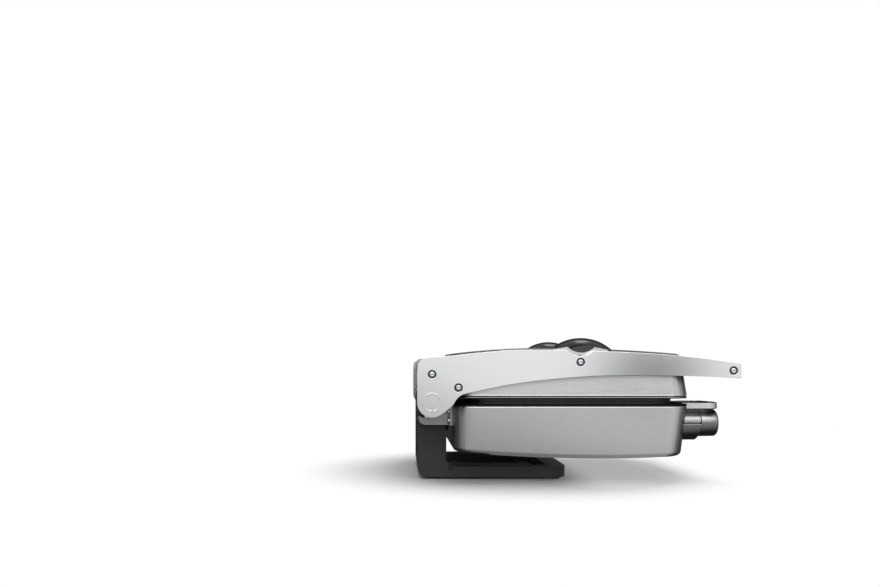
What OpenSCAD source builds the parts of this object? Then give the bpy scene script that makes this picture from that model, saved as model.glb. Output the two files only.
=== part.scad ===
// Heart waffle maker whose closed head turns over on a hinge at the back of a low base.
// Millimetres. +X is the front, +Z is up. The origin lies on the table under the middle of
// the closed maker. Pieces are placed from the hinge axis, which runs along Y.

/* [Casings] */
// Length of both casings, back to front
casing_l = 254.4; // [248:0.2:261]
// Width of both casings
casing_w = 255; // [250:1:300]
// Radius of the casings' upright corners
casing_r = 22; // [18:1:26]
// Thickness of the casings' sheet
casing_wall = 1.5; // [1:0.1:2]
// Radius between the casings' walls and their crowned faces
crown_r = 5; // [3:0.5:7]
// How far the front walls lean in
front_lean = 6; // [3:0.5:7]
// How far the side walls lean in
side_lean = 1.5; // [0.5:0.5:3]
// Distance from the hinge axis to the casings' rear walls
casing_back = 23.6; // [23:0.2:26]

/* [Lid] */
// Height of the lid's crown above the hinge axis
lid_h = 57.75; // [55:0.5:60]
// Fall of the lid's crown towards the back
lid_back_fall = 5.95; // [3:0.5:8]
// Fall of the lid's crown towards the front
lid_front_fall = 7.5; // [4:0.5:10]
// Height of the lid casing's edge above the hinge axis
lid_edge = 5.9; // [5:0.1:7]

/* [Lower half] */
// Depth of the lower casing's crown below the hinge axis
lower_h = 60.9; // [58:0.5:64]
// Rise of the lower crown towards the back
lower_back_fall = 7.1; // [4:0.5:9]
// Rise of the lower crown towards the front
lower_front_fall = 3.5; // [2:0.5:6]
// Depth of the lower casing's edge below the hinge axis
lower_edge = 4.9; // [4:0.1:6]

/* [Trim frames] */
// Height of the black trim frames that show between the halves
trim_h = 2.35; // [1.5:0.1:3]
// Depth of their skirts inside the casings
trim_skirt = 3.5; // [2:0.5:3.5]

/* [Baking plates] */
// Distance from the casings' edge to the plates' edge
plate_inset = 12; // [10:0.5:14]
// Radius of the plates' corners
plate_r = 30; // [24:1:36]
// Thickness of each plate
plate_t = 12.8; // [12:0.2:14]
// Depth of the heart wells
heart_depth = 9; // [7.5:0.5:9.5]
// Number of hearts in the rosette
heart_count = 5; // [4:1:6]
// Margin between the rosette and the plates' edge
rosette_rim = 15.2; // [10:0.2:20]
// Distance between the waffle ribs
rib_pitch = 18; // [14:1:24]
// Width of the waffle ribs
rib_w = 3; // [2:0.2:4]
// Height of the waffle ribs
rib_h = 3.5; // [2:0.5:4.5]

/* [Heaters] */
// Diameter of the heater tubes
heater_d = 6.6; // [5:0.2:7.5]
// Radius of the heater loops
heater_r = 76; // [60:1:80]
// Margin of the reflector dishes around the heater loops
reflector_rim = 12; // [8:0.5:16]
// Thickness of the reflector sheet
reflector_t = 1; // [0.6:0.1:1.5]

/* [Arms] */
// Distance that the arms reach past the casings' front
arm_ahead = 46.85; // [42:0.05:64]
// Height of the arms' highest point above the hinge axis
arm_rise = 55.65; // [54:0.5:58]
// Thickness of the arms
arm_t = 6; // [4:0.5:8]
// Radius of the arms' rounded tails
arm_tail_r = 15.75; // [15.5:0.25:17]
// Gap between the casings' widest sides and the arms
arm_gap = 9; // [7:0.5:12]
// Radius of the scallop in each arm's top edge
scallop_r = 19.5; // [15:0.5:24]
// Depth of the scallop
scallop_depth = 5.4; // [3:0.2:6]

/* [Handle] */
// How far the handle bar bows forward between the arms
handle_bow = 22; // [10:1:26]
// Width of the handle bar, back to front
handle_w = 19; // [15:0.5:20]
// Height of the handle bar
handle_h = 12; // [10:0.5:14]
// Radius of the handle bar's edges
handle_r = 4; // [2:0.5:4.5]

/* [Lid feet] */
// Radius of the domed feet on the lid
dome_r = 49.3; // [46:0.5:54]
// Height of the domes above the hinge axis
dome_top = 68.8; // [67:0.2:70]
// Distance of the domes from the hinge axis
dome_x = 162.65; // [157:0.05:169]
// Distance of the dome centres from the arms
dome_in = 29.5; // [26:0.5:32]

/* [Hinge] */
// Height of the hinge axis above the table
pivot_h = 87.7; // [84:0.5:96]
// Diameter of the hinge shaft
shaft_d = 12; // [9:0.5:13]
// Thickness of the hinge ears
ear_t = 5; // [3:0.5:6]
// Depth of the ears below the hinge axis
ear_drop = 26.6; // [24:0.2:30]
// Diameter of the pins that stop the turning head
stop_d = 5; // [4:0.2:5.4]
// Diameter of the caps over the shaft's ends
cap_d = 20.8; // [19:0.2:23]
// Thickness of the caps
cap_t = 1; // [0.8:0.1:2]

/* [Base] */
// Distance from the casings' sides to the base's sides
base_inset = 42.5; // [40:0.5:47]
// Distance from the hinge axis to the front of the base
base_front = 152.6; // [142:0.2:170]
// Width of the base's bars
bar_w = 21; // [20:0.5:25]
// Height of the base's bars
bar_h = 11.8; // [10:0.2:13]
// Thickness of the base's posts
post_t = 14; // [10:0.5:16]
// Radius of the base's corners
base_r = 8.4; // [5:0.2:10]
// Radius of the base's two front corners
nose_r = 18; // [17.5:0.5:20]
// Thickness of the sheet across the base's window
pan_t = 1.5; // [1:0.5:3]
// Height of the rubber feet below the base
pad_h = 2.1; // [1.5:0.1:4]
// Diameter of the rubber feet
pad_d = 19; // [14:0.5:19.5]
// Length of the front pair of feet
nose_pad_l = 26.5; // [20:0.5:27]

/* [Thermostat] */
// Diameter of the thermostat knob
knob_d = 30; // [26:0.5:32]
// Length of the thermostat knob
knob_l = 19.3; // [15:0.1:24]
// Length of the collar between the casing and the knob
collar_l = 14.9; // [12:0.1:26]
// Radius of the collar's larger, lower half
collar_r = 18.7; // [17:0.1:20]
// Distance of the knob's axis from the casing's side
knob_side = 30.5; // [28:0.5:50]
// Depth of the knob's axis below the hinge axis
knob_drop = 23.9; // [23.5:0.1:26]
// Diameter of the thermostat spindle
spindle_d = 6; // [4:0.5:8]
// Diameter of the two signal lamps
lamp_d = 6.4; // [4:0.2:8]

/* [Front grip] */
// Width of the grip under the handle
grip_w = 70; // [40:1:80]
// How far the grip stands out of the lower casing
grip_l = 66.3; // [45:0.1:70]
// Thickness of the grip
grip_t = 7.5; // [6:0.5:12]

/* [Cord inlet] */
// Bore of the gland for the power cord
inlet_d = 7.2; // [6:0.2:9]
// Depth of the gland below the hinge axis
inlet_drop = 30; // [28:0.5:36]

/* [Hidden] */
$fn = 64;
full_turn = 360;
hull_fn = 32;
// running gap of a shaft, gap of a fixed fit, and clear gap between parts that only lie close
run_gap = 0.05;
fit_gap = 0.1;
clear_gap = 0.3;
overrun = 1;

// places that follow from the sizes above
casing_front = casing_back + casing_l;
plate_x = casing_back + casing_l / 2;
arm_in = casing_w / 2 + arm_gap;
arm_out = arm_in + arm_t;
arm_reach = casing_front + arm_ahead;
handle_tip = arm_reach - arm_tail_r / 10;
grip_tip = casing_front + grip_l;
axis_x = (arm_tail_r - max(handle_tip + handle_bow, grip_tip)) / 2;
shaft_r = shaft_d / 2;
knob_r = knob_d / 2;
bar_top = pad_h + bar_h - pivot_h;
bar_low = pad_h - pivot_h;
post_out = casing_w / 2 - base_inset;
post_in = post_out - post_t;
tail_over = 2.15;
post_rear = arm_tail_r - tail_over;
post_clear = 5.7;
post_front = casing_back - post_clear;
ear_space = 6;
ear_in = post_out + ear_space;
ear_out = ear_in + ear_t;
bracket_space = 1;
bracket_in = ear_out + bracket_space;
knob_y = casing_w / 2 - knob_side;
rosette_r = min(casing_l, casing_w) / 2 - plate_inset - rosette_rim;
reflector_r = heater_r + reflector_rim;
plate_meet = 0.15;
plate_d = plate_meet + plate_t;
heater_z = plate_d + fit_gap + heater_d / 2;
reflector_space = 2.4;
reflector_z = heater_z + heater_d / 2 + reflector_space;

// crowns: height, place of the peak along the casing, fall to the back, fall to the front
lid_crown = [lid_h, casing_back + casing_l * 0.375, lid_back_fall, lid_front_fall];
lower_crown = [lower_h, casing_back + casing_l * 0.635, lower_back_fall, lower_front_fall];
corner_steps = 8;
side_steps = 10;
crown_steps = 5;

// Height of a crowned face over a place x along the casing
function crown_z(c, x) = c[0]
    - (x < c[1] ? c[2] * pow((c[1] - x) / (c[1] - casing_back), 2)
                : c[3] * pow((x - c[1]) / (casing_front - c[1]), 2));
// Place of a casing's front wall at a distance z from the hinge axis
function front_x(c, edge, z) = casing_front
    - front_lean * (z - edge) / (c[0] - c[3] - crown_r - edge);

// Points of one quarter turn, and of a straight run between two corners
function corner(x, y, r, start) =
    [for (i = [0 : corner_steps]) [x, y] + r * [cos(start + 90 * i / corner_steps),
                                               sin(start + 90 * i / corner_steps)]];
function run(x0, x1, y) = [for (i = [1 : side_steps - 1]) [x0 + (x1 - x0) * i / side_steps, y]];
// Rounded rectangle, as one ring of points that is the same on both sides of Y = 0
function ring(x0, x1, w, r) = concat(
    corner(x1 - r, r - w, r, 270), corner(x1 - r, w - r, r, 0), run(x1 - r, x0 + r, w),
    corner(x0 + r, w - r, r, 90), corner(x0 + r, r - w, r, 180), run(x0 + r, x1 - r, -w));

// Closed casing form, standing on z = edge: straight walls that lean in, then a rounded edge
// up to the crowned face. inset moves the walls in, top_inset lowers the crown.
module casing_form(c, edge, foot, inset, top_inset) {
    w = casing_w / 2;
    levels = concat([[0, undef]],
        [for (i = [0 : crown_steps]) [1, 90 * i / crown_steps]]);
    r_top = max(crown_r - inset, crown_r / 3);
    rings = [for (l = levels)
        let (in_r = l[1] == undef ? 0 : r_top * (1 - cos(l[1])),
             xf = casing_front - inset - l[0] * front_lean - in_r,
             xb = casing_back + inset + in_r,
             wy = w - inset - l[0] * side_lean - in_r)
        [for (p = ring(xb, xf, wy, casing_r - inset - in_r))
            [p[0], p[1], l[1] == undef ? foot
                : crown_z(c, p[0]) - top_inset - r_top * (1 - sin(l[1]))]]];
    n = len(rings[0]);
    half = n / 2;
    a = function(j) (corner_steps + 1 + j) % n;
    b = function(j) (corner_steps - j + n) % n;
    last = (len(rings) - 1) * n;
    walls = [for (k = [0 : len(rings) - 2], i = [0 : n - 1])
        let (p = k * n + i, q = k * n + (i + 1) % n)
        each [[p, p + n, q + n], [p, q + n, q]]];
    caps = [for (j = [0 : half - 2])
        each [[a(j), a(j + 1), b(j + 1)], [a(j), b(j + 1), b(j)],
              [last + b(j), last + b(j + 1), last + a(j + 1)],
              [last + b(j), last + a(j + 1), last + a(j)]]];
    polyhedron(points = [for (r = rings) each r], faces = concat(walls, caps));
}

// Places everything from the hinge axis
module at_axis() { translate([axis_x, 0, pivot_h]) children(); }
// The same piece on both sides
module both() { children(); mirror([0, 1, 0]) children(); }
// Rods along X, Y and Z
module rod_x(r, x0, x1, y = 0, z = 0) {
    translate([x0, y, z]) rotate([0, 90, 0]) cylinder(r = r, h = x1 - x0);
}
module rod_y(r, y0, y1, x = 0, z = 0) {
    translate([x, y1, z]) rotate([90, 0, 0]) cylinder(r = r, h = y1 - y0);
}
module rod_z(r, z0, z1, x = 0, y = 0) { translate([x, y, z0]) cylinder(r = r, h = z1 - z0); }
// Box from corner to corner
module block(low, high) { translate(low) cube(high - low); }
// An outline drawn in X and Z, as a plate between two places along Y
module upright(y0, y1) { translate([0, y1, 0]) rotate([90, 0, 0]) linear_extrude(y1 - y0) children(); }
// An outline drawn in X and Y, as a plate between two heights
module flat(z0, z1) { translate([0, 0, z0]) linear_extrude(z1 - z0) children(); }
// Rectangle with true round corners
module pad(x0, x1, y0, y1, r) {
    translate([x0 + r, y0]) square([x1 - x0 - 2 * r, y1 - y0]);
    translate([x0, y0 + r]) square([x1 - x0, y1 - y0 - 2 * r]);
    for (x = [x0 + r, x1 - r], y = [y0 + r, y1 - r]) translate([x, y]) circle(r);
}
// Round tube around Y
module tube_y(r_out, r_in, y0, y1) {
    difference() {
        rod_y(r_out, y0, y1);
        rod_y(r_in, y0 - overrun, y1 + overrun);
    }
}
// Smooth curve through a list of points
function blend(a, b, c, d, t) = 0.5 * (2 * b + (c - a) * t + (2 * a - 5 * b + 4 * c - d) * t * t
    + (3 * b - a - 3 * c + d) * t * t * t);
function smooth(p, steps) = concat(
    [for (i = [0 : len(p) - 2], s = [0 : steps - 1])
        blend(p[max(i - 1, 0)], p[i], p[i + 1], p[min(i + 2, len(p) - 1)], s / steps)],
    [p[len(p) - 1]]);

// BASE

// Side of a base post: round over the shaft, widening to the bar
module post_side() {
    circle(post_rear);
    polygon([[-post_rear, 0], [post_rear, 0], [post_front, -post_front * 2],
             [post_front, bar_low], [-post_rear, bar_low]]);
}
window_x0 = post_front;
window_x1 = base_front - bar_w;
window_y = post_out - bar_w;
module base_frame() {
    color("dimgray") at_axis() difference() {
        union() {
            intersection() {
                flat(bar_low, bar_top) difference() {
                    union() {
                        pad(-post_rear, window_x1, -post_out, post_out, base_r);
                        pad(window_x0, base_front, -post_out, post_out, nose_r);
                    }
                    pad(window_x0, window_x1, -window_y, window_y, base_r / 2);
                }
                upright(-post_out, post_out)
                    pad(-post_rear, base_front + base_r, bar_low, bar_top + base_r, base_r);
            }
            both() intersection() {
                upright(post_in, post_out) post_side();
                upright(post_in, post_out)
                    pad(-post_rear, base_front, bar_low, post_rear + base_r, base_r);
            }
            both() difference() {
                block([post_front - overrun, post_in, bar_top - overrun],
                      [post_front + base_r, post_out, bar_top + base_r]);
                rod_y(base_r, post_in - overrun, post_out + overrun,
                      post_front + base_r, bar_top + base_r);
            }
        }
        rod_y(shaft_r + fit_gap / 4, -post_out - overrun, post_out + overrun);
        both() rod_y(stop_d / 2 + fit_gap / 4, post_out - stop_hold, post_out + overrun,
                     stop_x, stop_z);
        both() rod_z(grub_r, shaft_r - overrun, post_rear + overrun, 0, post_out - post_t / 2);
        both() rod_y(side_screw_r, post_out - post_t / 2, post_out + overrun, side_screw_x, side_screw_z);
        for (x = pad_places, y = [-pad_y, pad_y])
            rod_z(pad_peg_r, bar_low - overrun, bar_low + pad_peg, x, y);
        flat(bar_low - overrun, bar_low + pan_t) pan_outline(0);
        for (p = pan_screws_at)
            rod_z(pan_screw_r, bar_low - overrun, bar_low + bar_h / 2, p[0], p[1]);
    }
}
// Sheet let into the underside of the bars, and its screws
pan_lip = bar_w / 3;
pan_screw_r = 1.5;
window_l = window_x1 - window_x0;
pan_screws_at = [for (s = [-1, 1]) each [
    [window_x0 + window_l * 0.3, s * (window_y + pan_lip / 2)],
    [window_x0 + window_l * 0.65, s * (window_y + pan_lip / 2)],
    [window_x0 - pan_lip / 2, s * window_y / 2], [window_x1 + pan_lip / 2, s * window_y / 2]]];
module pan_outline(gap) {
    edge = pan_lip - gap;
    pad(window_x0 - edge, window_x1 + edge, -window_y - edge, window_y + edge, base_r / 2);
}
// One slot near each corner of the sheet
slot_rim = 3;
slot_l = 15;
slot_places = [window_x0 + slot_rim, window_x1 - slot_rim - slot_l];
module base_pan() {
    color("dimgray") at_axis() difference() {
        flat(bar_low, bar_low + pan_t) pan_outline(fit_gap);
        both() for (x = slot_places)
            block([x, window_y - slot_rim - slot_l, bar_low - overrun],
                  [x + slot_l, window_y - slot_rim, bar_top]);
        for (p = pan_screws_at)
            rod_z(pan_screw_r + fit_gap, bar_low - overrun, bar_low + pan_t + overrun, p[0], p[1]);
    }
}
module base_pan_screws() {
    color("gray") at_axis() for (p = pan_screws_at) {
        rod_z(pan_screw_r, bar_low - fit_gap, bar_low + bar_h / 2 - fit_gap, p[0], p[1]);
        rod_z(pan_screw_r * 2, bar_low - fit_gap - pan_screw_r * 0.8, bar_low - fit_gap, p[0], p[1]);
    }
}
// Screw in the outer side of each post's foot
side_screw_r = 1.5;
side_screw_x = post_front + 3 * side_screw_r;
side_screw_z = bar_top - side_screw_r;
side_head_t = 1;
module base_side_screws() {
    color("gray") at_axis() both() difference() {
        union() {
            rod_y(side_screw_r - fit_gap / 4, post_out - post_t / 2 + fit_gap, post_out + fit_gap,
                  side_screw_x, side_screw_z);
            rod_y(side_screw_r * 1.7, post_out + fit_gap, post_out + fit_gap + side_head_t,
                  side_screw_x, side_screw_z);
        }
        translate([side_screw_x, post_out + fit_gap + 2 * side_head_t, side_screw_z])
            rotate([90, 0, 0]) cylinder(r = side_screw_r * 0.8, h = 2 * side_head_t, $fn = 6);
    }
}
// Feet: round at the back, longer under the front corners
pad_y = post_out - bar_w / 2;
pad_tip = base_front - bar_w / 3;
pad_places = [post_front + pad_d / 2, pad_tip - nose_pad_l / 2];
pad_peg_r = pad_d / 6;
pad_peg = bar_h / 3;
module base_feet() {
    color([0.1, 0.1, 0.1]) at_axis() for (y = [-pad_y, pad_y]) {
        rod_z(pad_d / 2, -pivot_h, bar_low, pad_places[0], y);
        flat(-pivot_h, bar_low)
            pad(pad_tip - nose_pad_l, pad_tip, y - pad_d / 2, y + pad_d / 2, pad_d / 2 - fit_gap);
        for (x = pad_places)
            rod_z(pad_peg_r - fit_gap, bar_low - overrun, bar_low + pad_peg - fit_gap, x, y);
    }
}

// HINGE

cap_peg_r = shaft_r / 2;
cap_peg = shaft_r;
module hinge_shaft() {
    color("silver") at_axis() difference() {
        rod_y(shaft_r, fit_gap - arm_out, arm_out - fit_gap);
        both() rod_y(cap_peg_r + fit_gap / 2, arm_out - cap_peg - fit_gap, arm_out + overrun);
    }
}
spacer_r = shaft_r * 1.5;
module shaft_spacers() {
    color("silver") at_axis() both() {
        tube_y(spacer_r, shaft_r + fit_gap / 4, post_out + fit_gap, ear_in - clear_gap);
        tube_y(spacer_r, shaft_r + fit_gap / 4, ear_out + clear_gap, arm_in - clear_gap);
    }
}
// The stop pins lie on a circle around the axis, inside a slot in each ear
stop_at = 17.7;
stop_angle = 256;
turn_range = 180;
stop_hold = post_t / 2;
stop_x = stop_at * cos(stop_angle);
stop_z = stop_at * sin(stop_angle);
module stop_pins() {
    color("silver") at_axis() both()
        rod_y(stop_d / 2, post_out - stop_hold + fit_gap, ear_out, stop_x, stop_z);
}
grub_r = 2.5;
module shaft_grub_screws() {
    color("gray") at_axis() both() difference() {
        rod_z(grub_r - fit_gap / 2, shaft_r + fit_gap, post_rear - overrun, 0, post_out - post_t / 2);
        translate([0, post_out - post_t / 2, post_rear - 2 * overrun])
            cylinder(r = grub_r / 2, h = 2 * overrun, $fn = 6);
    }
}
module pivot_cap() {
    difference() {
        rod_y(cap_d / 2, arm_out + clear_gap, arm_out + clear_gap + cap_t);
        rod_y(cap_d / 2 - cap_t * 2, arm_out + clear_gap + cap_t * 0.7, arm_out + overrun + cap_t);
    }
    rod_y(cap_peg_r, arm_out - cap_peg, arm_out + cap_t / 2);
}
module pivot_cap_left() { color("silver") at_axis() mirror([0, 1, 0]) pivot_cap(); }
module pivot_cap_right() { color("silver") at_axis() pivot_cap(); }

// LOWER HALF

bush_wall = 3;
ear_bush_r = shaft_r + bush_wall;
ear_flange_t = 3;
ear_flange_w = 14;
ear_screw_r = 2;
ear_screw_z = [-ear_drop * 0.42, -ear_drop * 0.8];
pin_gap = 0.2;
slot_in = stop_at - stop_d / 2 - pin_gap;
slot_out = stop_at + stop_d / 2 + pin_gap;
cam_edge = 1.2;
cam_r = slot_out + cam_edge;
stop_half = asin((stop_d / 2 + fit_gap) / stop_at);
cam_steps = 4;
cam_turn = full_turn - turn_range - 2 * stop_half;
cam_start = stop_angle + stop_half - full_turn;
ear_rear = arm_tail_r - tail_over;
ear_web = slot_out * 0.86;
// Side of an ear: hub, front cam up to where the stop pin meets it, and lower edge
module ear_side() {
    difference() {
        union() {
            circle(slot_in);
            intersection() {
                circle(cam_r);
                polygon(concat([[0, 0]], [for (i = [0 : cam_steps])
                    let (t = cam_start + i * cam_turn / cam_steps) 3 * cam_r * [cos(t), sin(t)]]));
            }
            difference() {
                pad(-ear_rear, casing_back - ear_flange_t / 2, -ear_drop, 0, base_r);
                circle(slot_out);
                translate([-2 * ear_drop, -ear_web]) square([2 * ear_drop, 2 * ear_drop]);
                translate([-overrun, -lower_edge]) square([2 * ear_drop, ear_drop]);
            }
            translate([base_r, -ear_drop])
                square([casing_back - ear_flange_t / 2 - base_r, ear_drop - lower_edge - overrun]);
        }
        circle(ear_bush_r + fit_gap / 4);
    }
}
module hinge_ear() {
    upright(ear_in, ear_out) ear_side();
    difference() {
        block([casing_back - ear_flange_t, ear_in - overrun, -ear_drop],
              [casing_back, ear_in + ear_flange_w, -lower_edge - 2 * overrun]);
        for (z = ear_screw_z)
            rod_x(ear_screw_r + fit_gap, casing_back - ear_flange_t - overrun, casing_back + overrun,
                  ear_out + ear_flange_w / 3, z);
    }
}
module hinge_ear_left() { color("gray") at_axis() mirror([0, 1, 0]) hinge_ear(); }
module hinge_ear_right() { color("gray") at_axis() hinge_ear(); }
module ear_bushes() {
    color("goldenrod") at_axis() both() tube_y(ear_bush_r, shaft_r + run_gap, ear_in, ear_out);
}
module ear_screws() {
    color("silver") at_axis() both() for (z = ear_screw_z) {
        rod_x(ear_screw_r, casing_back - ear_flange_t, casing_back + casing_wall + ear_screw_r,
              ear_out + ear_flange_w / 3, z);
        rod_x(ear_screw_r * 1.8, casing_back - ear_flange_t - ear_screw_r, casing_back - ear_flange_t,
              ear_out + ear_flange_w / 3, z);
    }
}

// Stepped outline of the thermostat collar, seen from the front
module collar_outline(gap) {
    intersection() {
        circle(knob_r + gap);
        translate([-2 * knob_r, 0]) square([4 * knob_r, 2 * knob_r]);
    }
    intersection() {
        circle(collar_r + gap);
        translate([-2 * collar_r, -2 * collar_r]) square([4 * collar_r, 2 * collar_r + gap]);
    }
}
// A plate seen from the front, between two places along X
module facing(x0, x1, y, z) {
    translate([x0, y, z]) rotate([90, 0, 90]) linear_extrude(x1 - x0) children();
}
lamp_places = [-0.72, -0.55];
wall_at_knob = front_x(lower_crown, lower_edge, knob_drop);
gland_wall = 3.4;
gland_r = inlet_d / 2 + gland_wall;
grip_z = -lower_edge - clear_gap;
grip_screw_y = grip_w / 4;
grip_screw_z = grip_z - grip_t * 0.7;
grip_screw_r = 1.6;
grip_head_r = grip_screw_r * 1.7;
module lower_casing() {
    color("silver") at_axis() difference() {
        mirror([0, 0, 1]) difference() {
            casing_form(lower_crown, lower_edge, lower_edge, 0, 0);
            casing_form(lower_crown, lower_edge, lower_edge - overrun, casing_wall, casing_wall);
        }
        facing(casing_front - 3 * front_lean, casing_front + overrun, -knob_y, -knob_drop)
            collar_outline(fit_gap);
        for (y = lamp_places) rod_x(lamp_d / 2 + fit_gap, casing_front - 3 * front_lean,
            casing_front + overrun, y * knob_y, -knob_drop);
        rod_x(gland_r + fit_gap, casing_back - overrun, casing_back + casing_wall + overrun,
              0, -inlet_drop);
        both() for (z = ear_screw_z) rod_x(ear_screw_r + fit_gap, casing_back - overrun,
            casing_back + casing_wall + overrun, ear_out + ear_flange_w / 3, z);
        for (p = post_places)
            rod_z(casing_screw_r + fit_gap, -lower_h - overrun, -lower_h / 2, p[0], p[1]);
        for (y = [-grip_screw_y, grip_screw_y])
            rod_x(grip_screw_r + fit_gap, casing_front - 3 * front_lean, casing_front + overrun,
                  y, grip_screw_z);
    }
}
module lower_casing_screws() {
    color("gray") at_axis() for (p = post_places) {
        z = -crown_z(lower_crown, p[0]) - fit_gap * 4;
        rod_z(casing_screw_r, z, z + casing_screw_l, p[0], p[1]);
        rod_z(casing_screw_r * 1.9, z - casing_screw_r * 0.8, z, p[0], p[1]);
    }
}

// Trim frame around a plate: a flange on the casing's edge and a skirt inside it. Drawn
// for a casing whose edge lies at z = edge, with the inside upwards.
wall_rise = lid_h - lid_front_fall - crown_r - lid_edge;
skirt_in = casing_wall + fit_gap + front_lean * trim_skirt / wall_rise;
trim_gap = 0.5;
module trim_frame(edge) {
    difference() {
        union() {
            flat(edge - trim_h, edge)
                pad(casing_back, casing_front, -casing_w / 2, casing_w / 2, casing_r);
            flat(edge - overrun, edge + trim_skirt)
                pad(casing_back + skirt_in, casing_front - skirt_in, skirt_in - casing_w / 2,
                    casing_w / 2 - skirt_in, casing_r - skirt_in);
        }
        flat(edge - trim_h - overrun, edge + trim_skirt + overrun) plate_outline(-trim_gap);
    }
}
module plate_outline(inset) {
    i = plate_inset + inset;
    pad(casing_back + i, casing_front - i, i - casing_w / 2, casing_w / 2 - i, plate_r - inset);
}
// The lower frame's skirt is notched round the heads of the grip's screws
module lower_trim_frame() {
    color([0.12, 0.12, 0.12]) at_axis() difference() {
        mirror([0, 0, 1]) trim_frame(lower_edge);
        for (y = [-grip_screw_y, grip_screw_y])
            rod_x(grip_head_r + clear_gap, casing_front - 2 * plate_inset, casing_front,
                  y, grip_screw_z);
    }
}
module lid_trim_frame() { color([0.12, 0.12, 0.12]) at_axis() trim_frame(lid_edge); }

// One heart with its point at the origin, two round lobes away from it, and the rosette
heart_half = 180 / heart_count - 0.8;
heart_shift = 1.8;
heart_l = rosette_r - heart_shift;
lobe_at = heart_l / (1 + sin(heart_half / 2));
lobe_r = lobe_at * sin(heart_half / 2);
module heart() {
    side = lobe_at * cos(heart_half / 2);
    polygon([[0, 0], side * [cos(heart_half), -sin(heart_half)],
             lobe_at * [cos(heart_half / 2), -sin(heart_half / 2)],
             [lobe_at * cos(heart_half / 2) + rib_w / 2, 0],
             lobe_at * [cos(heart_half / 2), sin(heart_half / 2)],
             side * [cos(heart_half), sin(heart_half)]]);
    for (s = [-1, 1]) rotate(s * heart_half / 2) translate([lobe_at, 0]) circle(lobe_r);
}
module ribs() {
    n = floor(heart_l / rib_pitch / 2);
    for (turn = [45, -45], i = [-n : n])
        translate([heart_l * 0.6, 0]) rotate(turn) translate([-heart_l, i * rib_pitch - rib_w / 2])
            square([2 * heart_l, rib_w]);
}
half_turn = 180;
// A plate with its baking face at z = 0 and heart wells sunk into it
module baking_plate() {
    difference() {
        flat(-plate_t, 0) plate_outline(0);
        for (k = [0 : heart_count - 1]) translate([plate_x, 0, 0])
            rotate(half_turn + full_turn * k / heart_count) translate([heart_shift, 0, 0]) {
                difference() {
                    flat(-heart_depth, overrun) heart();
                    flat(-heart_depth - overrun, rib_h - heart_depth) ribs();
                }
            }
    }
}
module lower_baking_plate() {
    color([0.15, 0.15, 0.15]) at_axis() translate([0, 0, -plate_meet]) baking_plate();
}
module lid_baking_plate() {
    color([0.15, 0.15, 0.15]) at_axis() mirror([0, 0, 1])
        translate([0, 0, -plate_meet]) baking_plate();
}

// Heater loop under a plate, open at the back, where its two ends turn down
heater_open = 11;
heater_leg = 14;
module heater() {
    translate([plate_x, 0, -heater_z]) {
        rotate(heater_open - 180) rotate_extrude(angle = 360 - 2 * heater_open)
            translate([heater_r, 0]) circle(heater_d / 2);
        for (s = [-1, 1]) rotate(180 + s * heater_open) translate([heater_r, 0, 0]) {
            sphere(heater_d / 2);
            rod_z(heater_d / 2, -heater_leg, 0);
        }
    }
}
module lower_heater() { color("darkgray") at_axis() heater(); }
module lid_heater() { color("darkgray") at_axis() mirror([0, 0, 1]) heater(); }

// Reflector dish under a heater: its wall reaches the plate, and holes pass the heater's legs
module reflector() {
    translate([plate_x, 0, 0]) difference() {
        rod_z(reflector_r, -reflector_z - reflector_t, -plate_d - fit_gap);
        rod_z(reflector_r - reflector_t, -reflector_z, 0);
        for (s = [-1, 1]) rotate(180 + s * heater_open)
            rod_z(heater_d / 2 + clear_gap, -reflector_z - 2 * overrun, 0, heater_r, 0);
    }
}
module lower_reflector() { color("lightgray") at_axis() reflector(); }
module lid_reflector() { color("lightgray") at_axis() mirror([0, 0, 1]) reflector(); }

// Thermal fuse clipped under a plate, inside the reflector
fuse_r = 3;
fuse_l = 16;
module thermal_fuse() {
    rod_x(fuse_r, plate_x - fuse_l / 2, plate_x + fuse_l / 2, 0, -plate_d - fit_gap - fuse_r);
}
module lower_thermal_fuse() { color("white") at_axis() thermal_fuse(); }
module lid_thermal_fuse() { color("white") at_axis() mirror([0, 0, 1]) thermal_fuse(); }

// Posts between a plate and its casing's crown
post_l_shares = [0.15, 0.82];
post_w_shares = [-0.36, 0.36];
post_places = [for (x = post_l_shares, y = post_w_shares)
    [casing_back + x * casing_l, y * casing_w]];
plate_post_r = 5;
casing_screw_r = 2;
module plate_posts(c) {
    for (p = post_places) difference() {
        rod_z(plate_post_r, casing_wall - crown_z(c, p[0]) + plate_post_r / 10 + fit_gap,
              -plate_d - fit_gap, p[0], p[1]);
        rod_z(casing_screw_r + fit_gap / 4, -c[0], 2 * casing_screw_l - c[0], p[0], p[1]);
    }
}
casing_screw_l = 12;
module lower_plate_posts() { color("silver") at_axis() plate_posts(lower_crown); }
module lid_plate_posts() { color("silver") at_axis() mirror([0, 0, 1]) plate_posts(lid_crown); }

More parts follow.
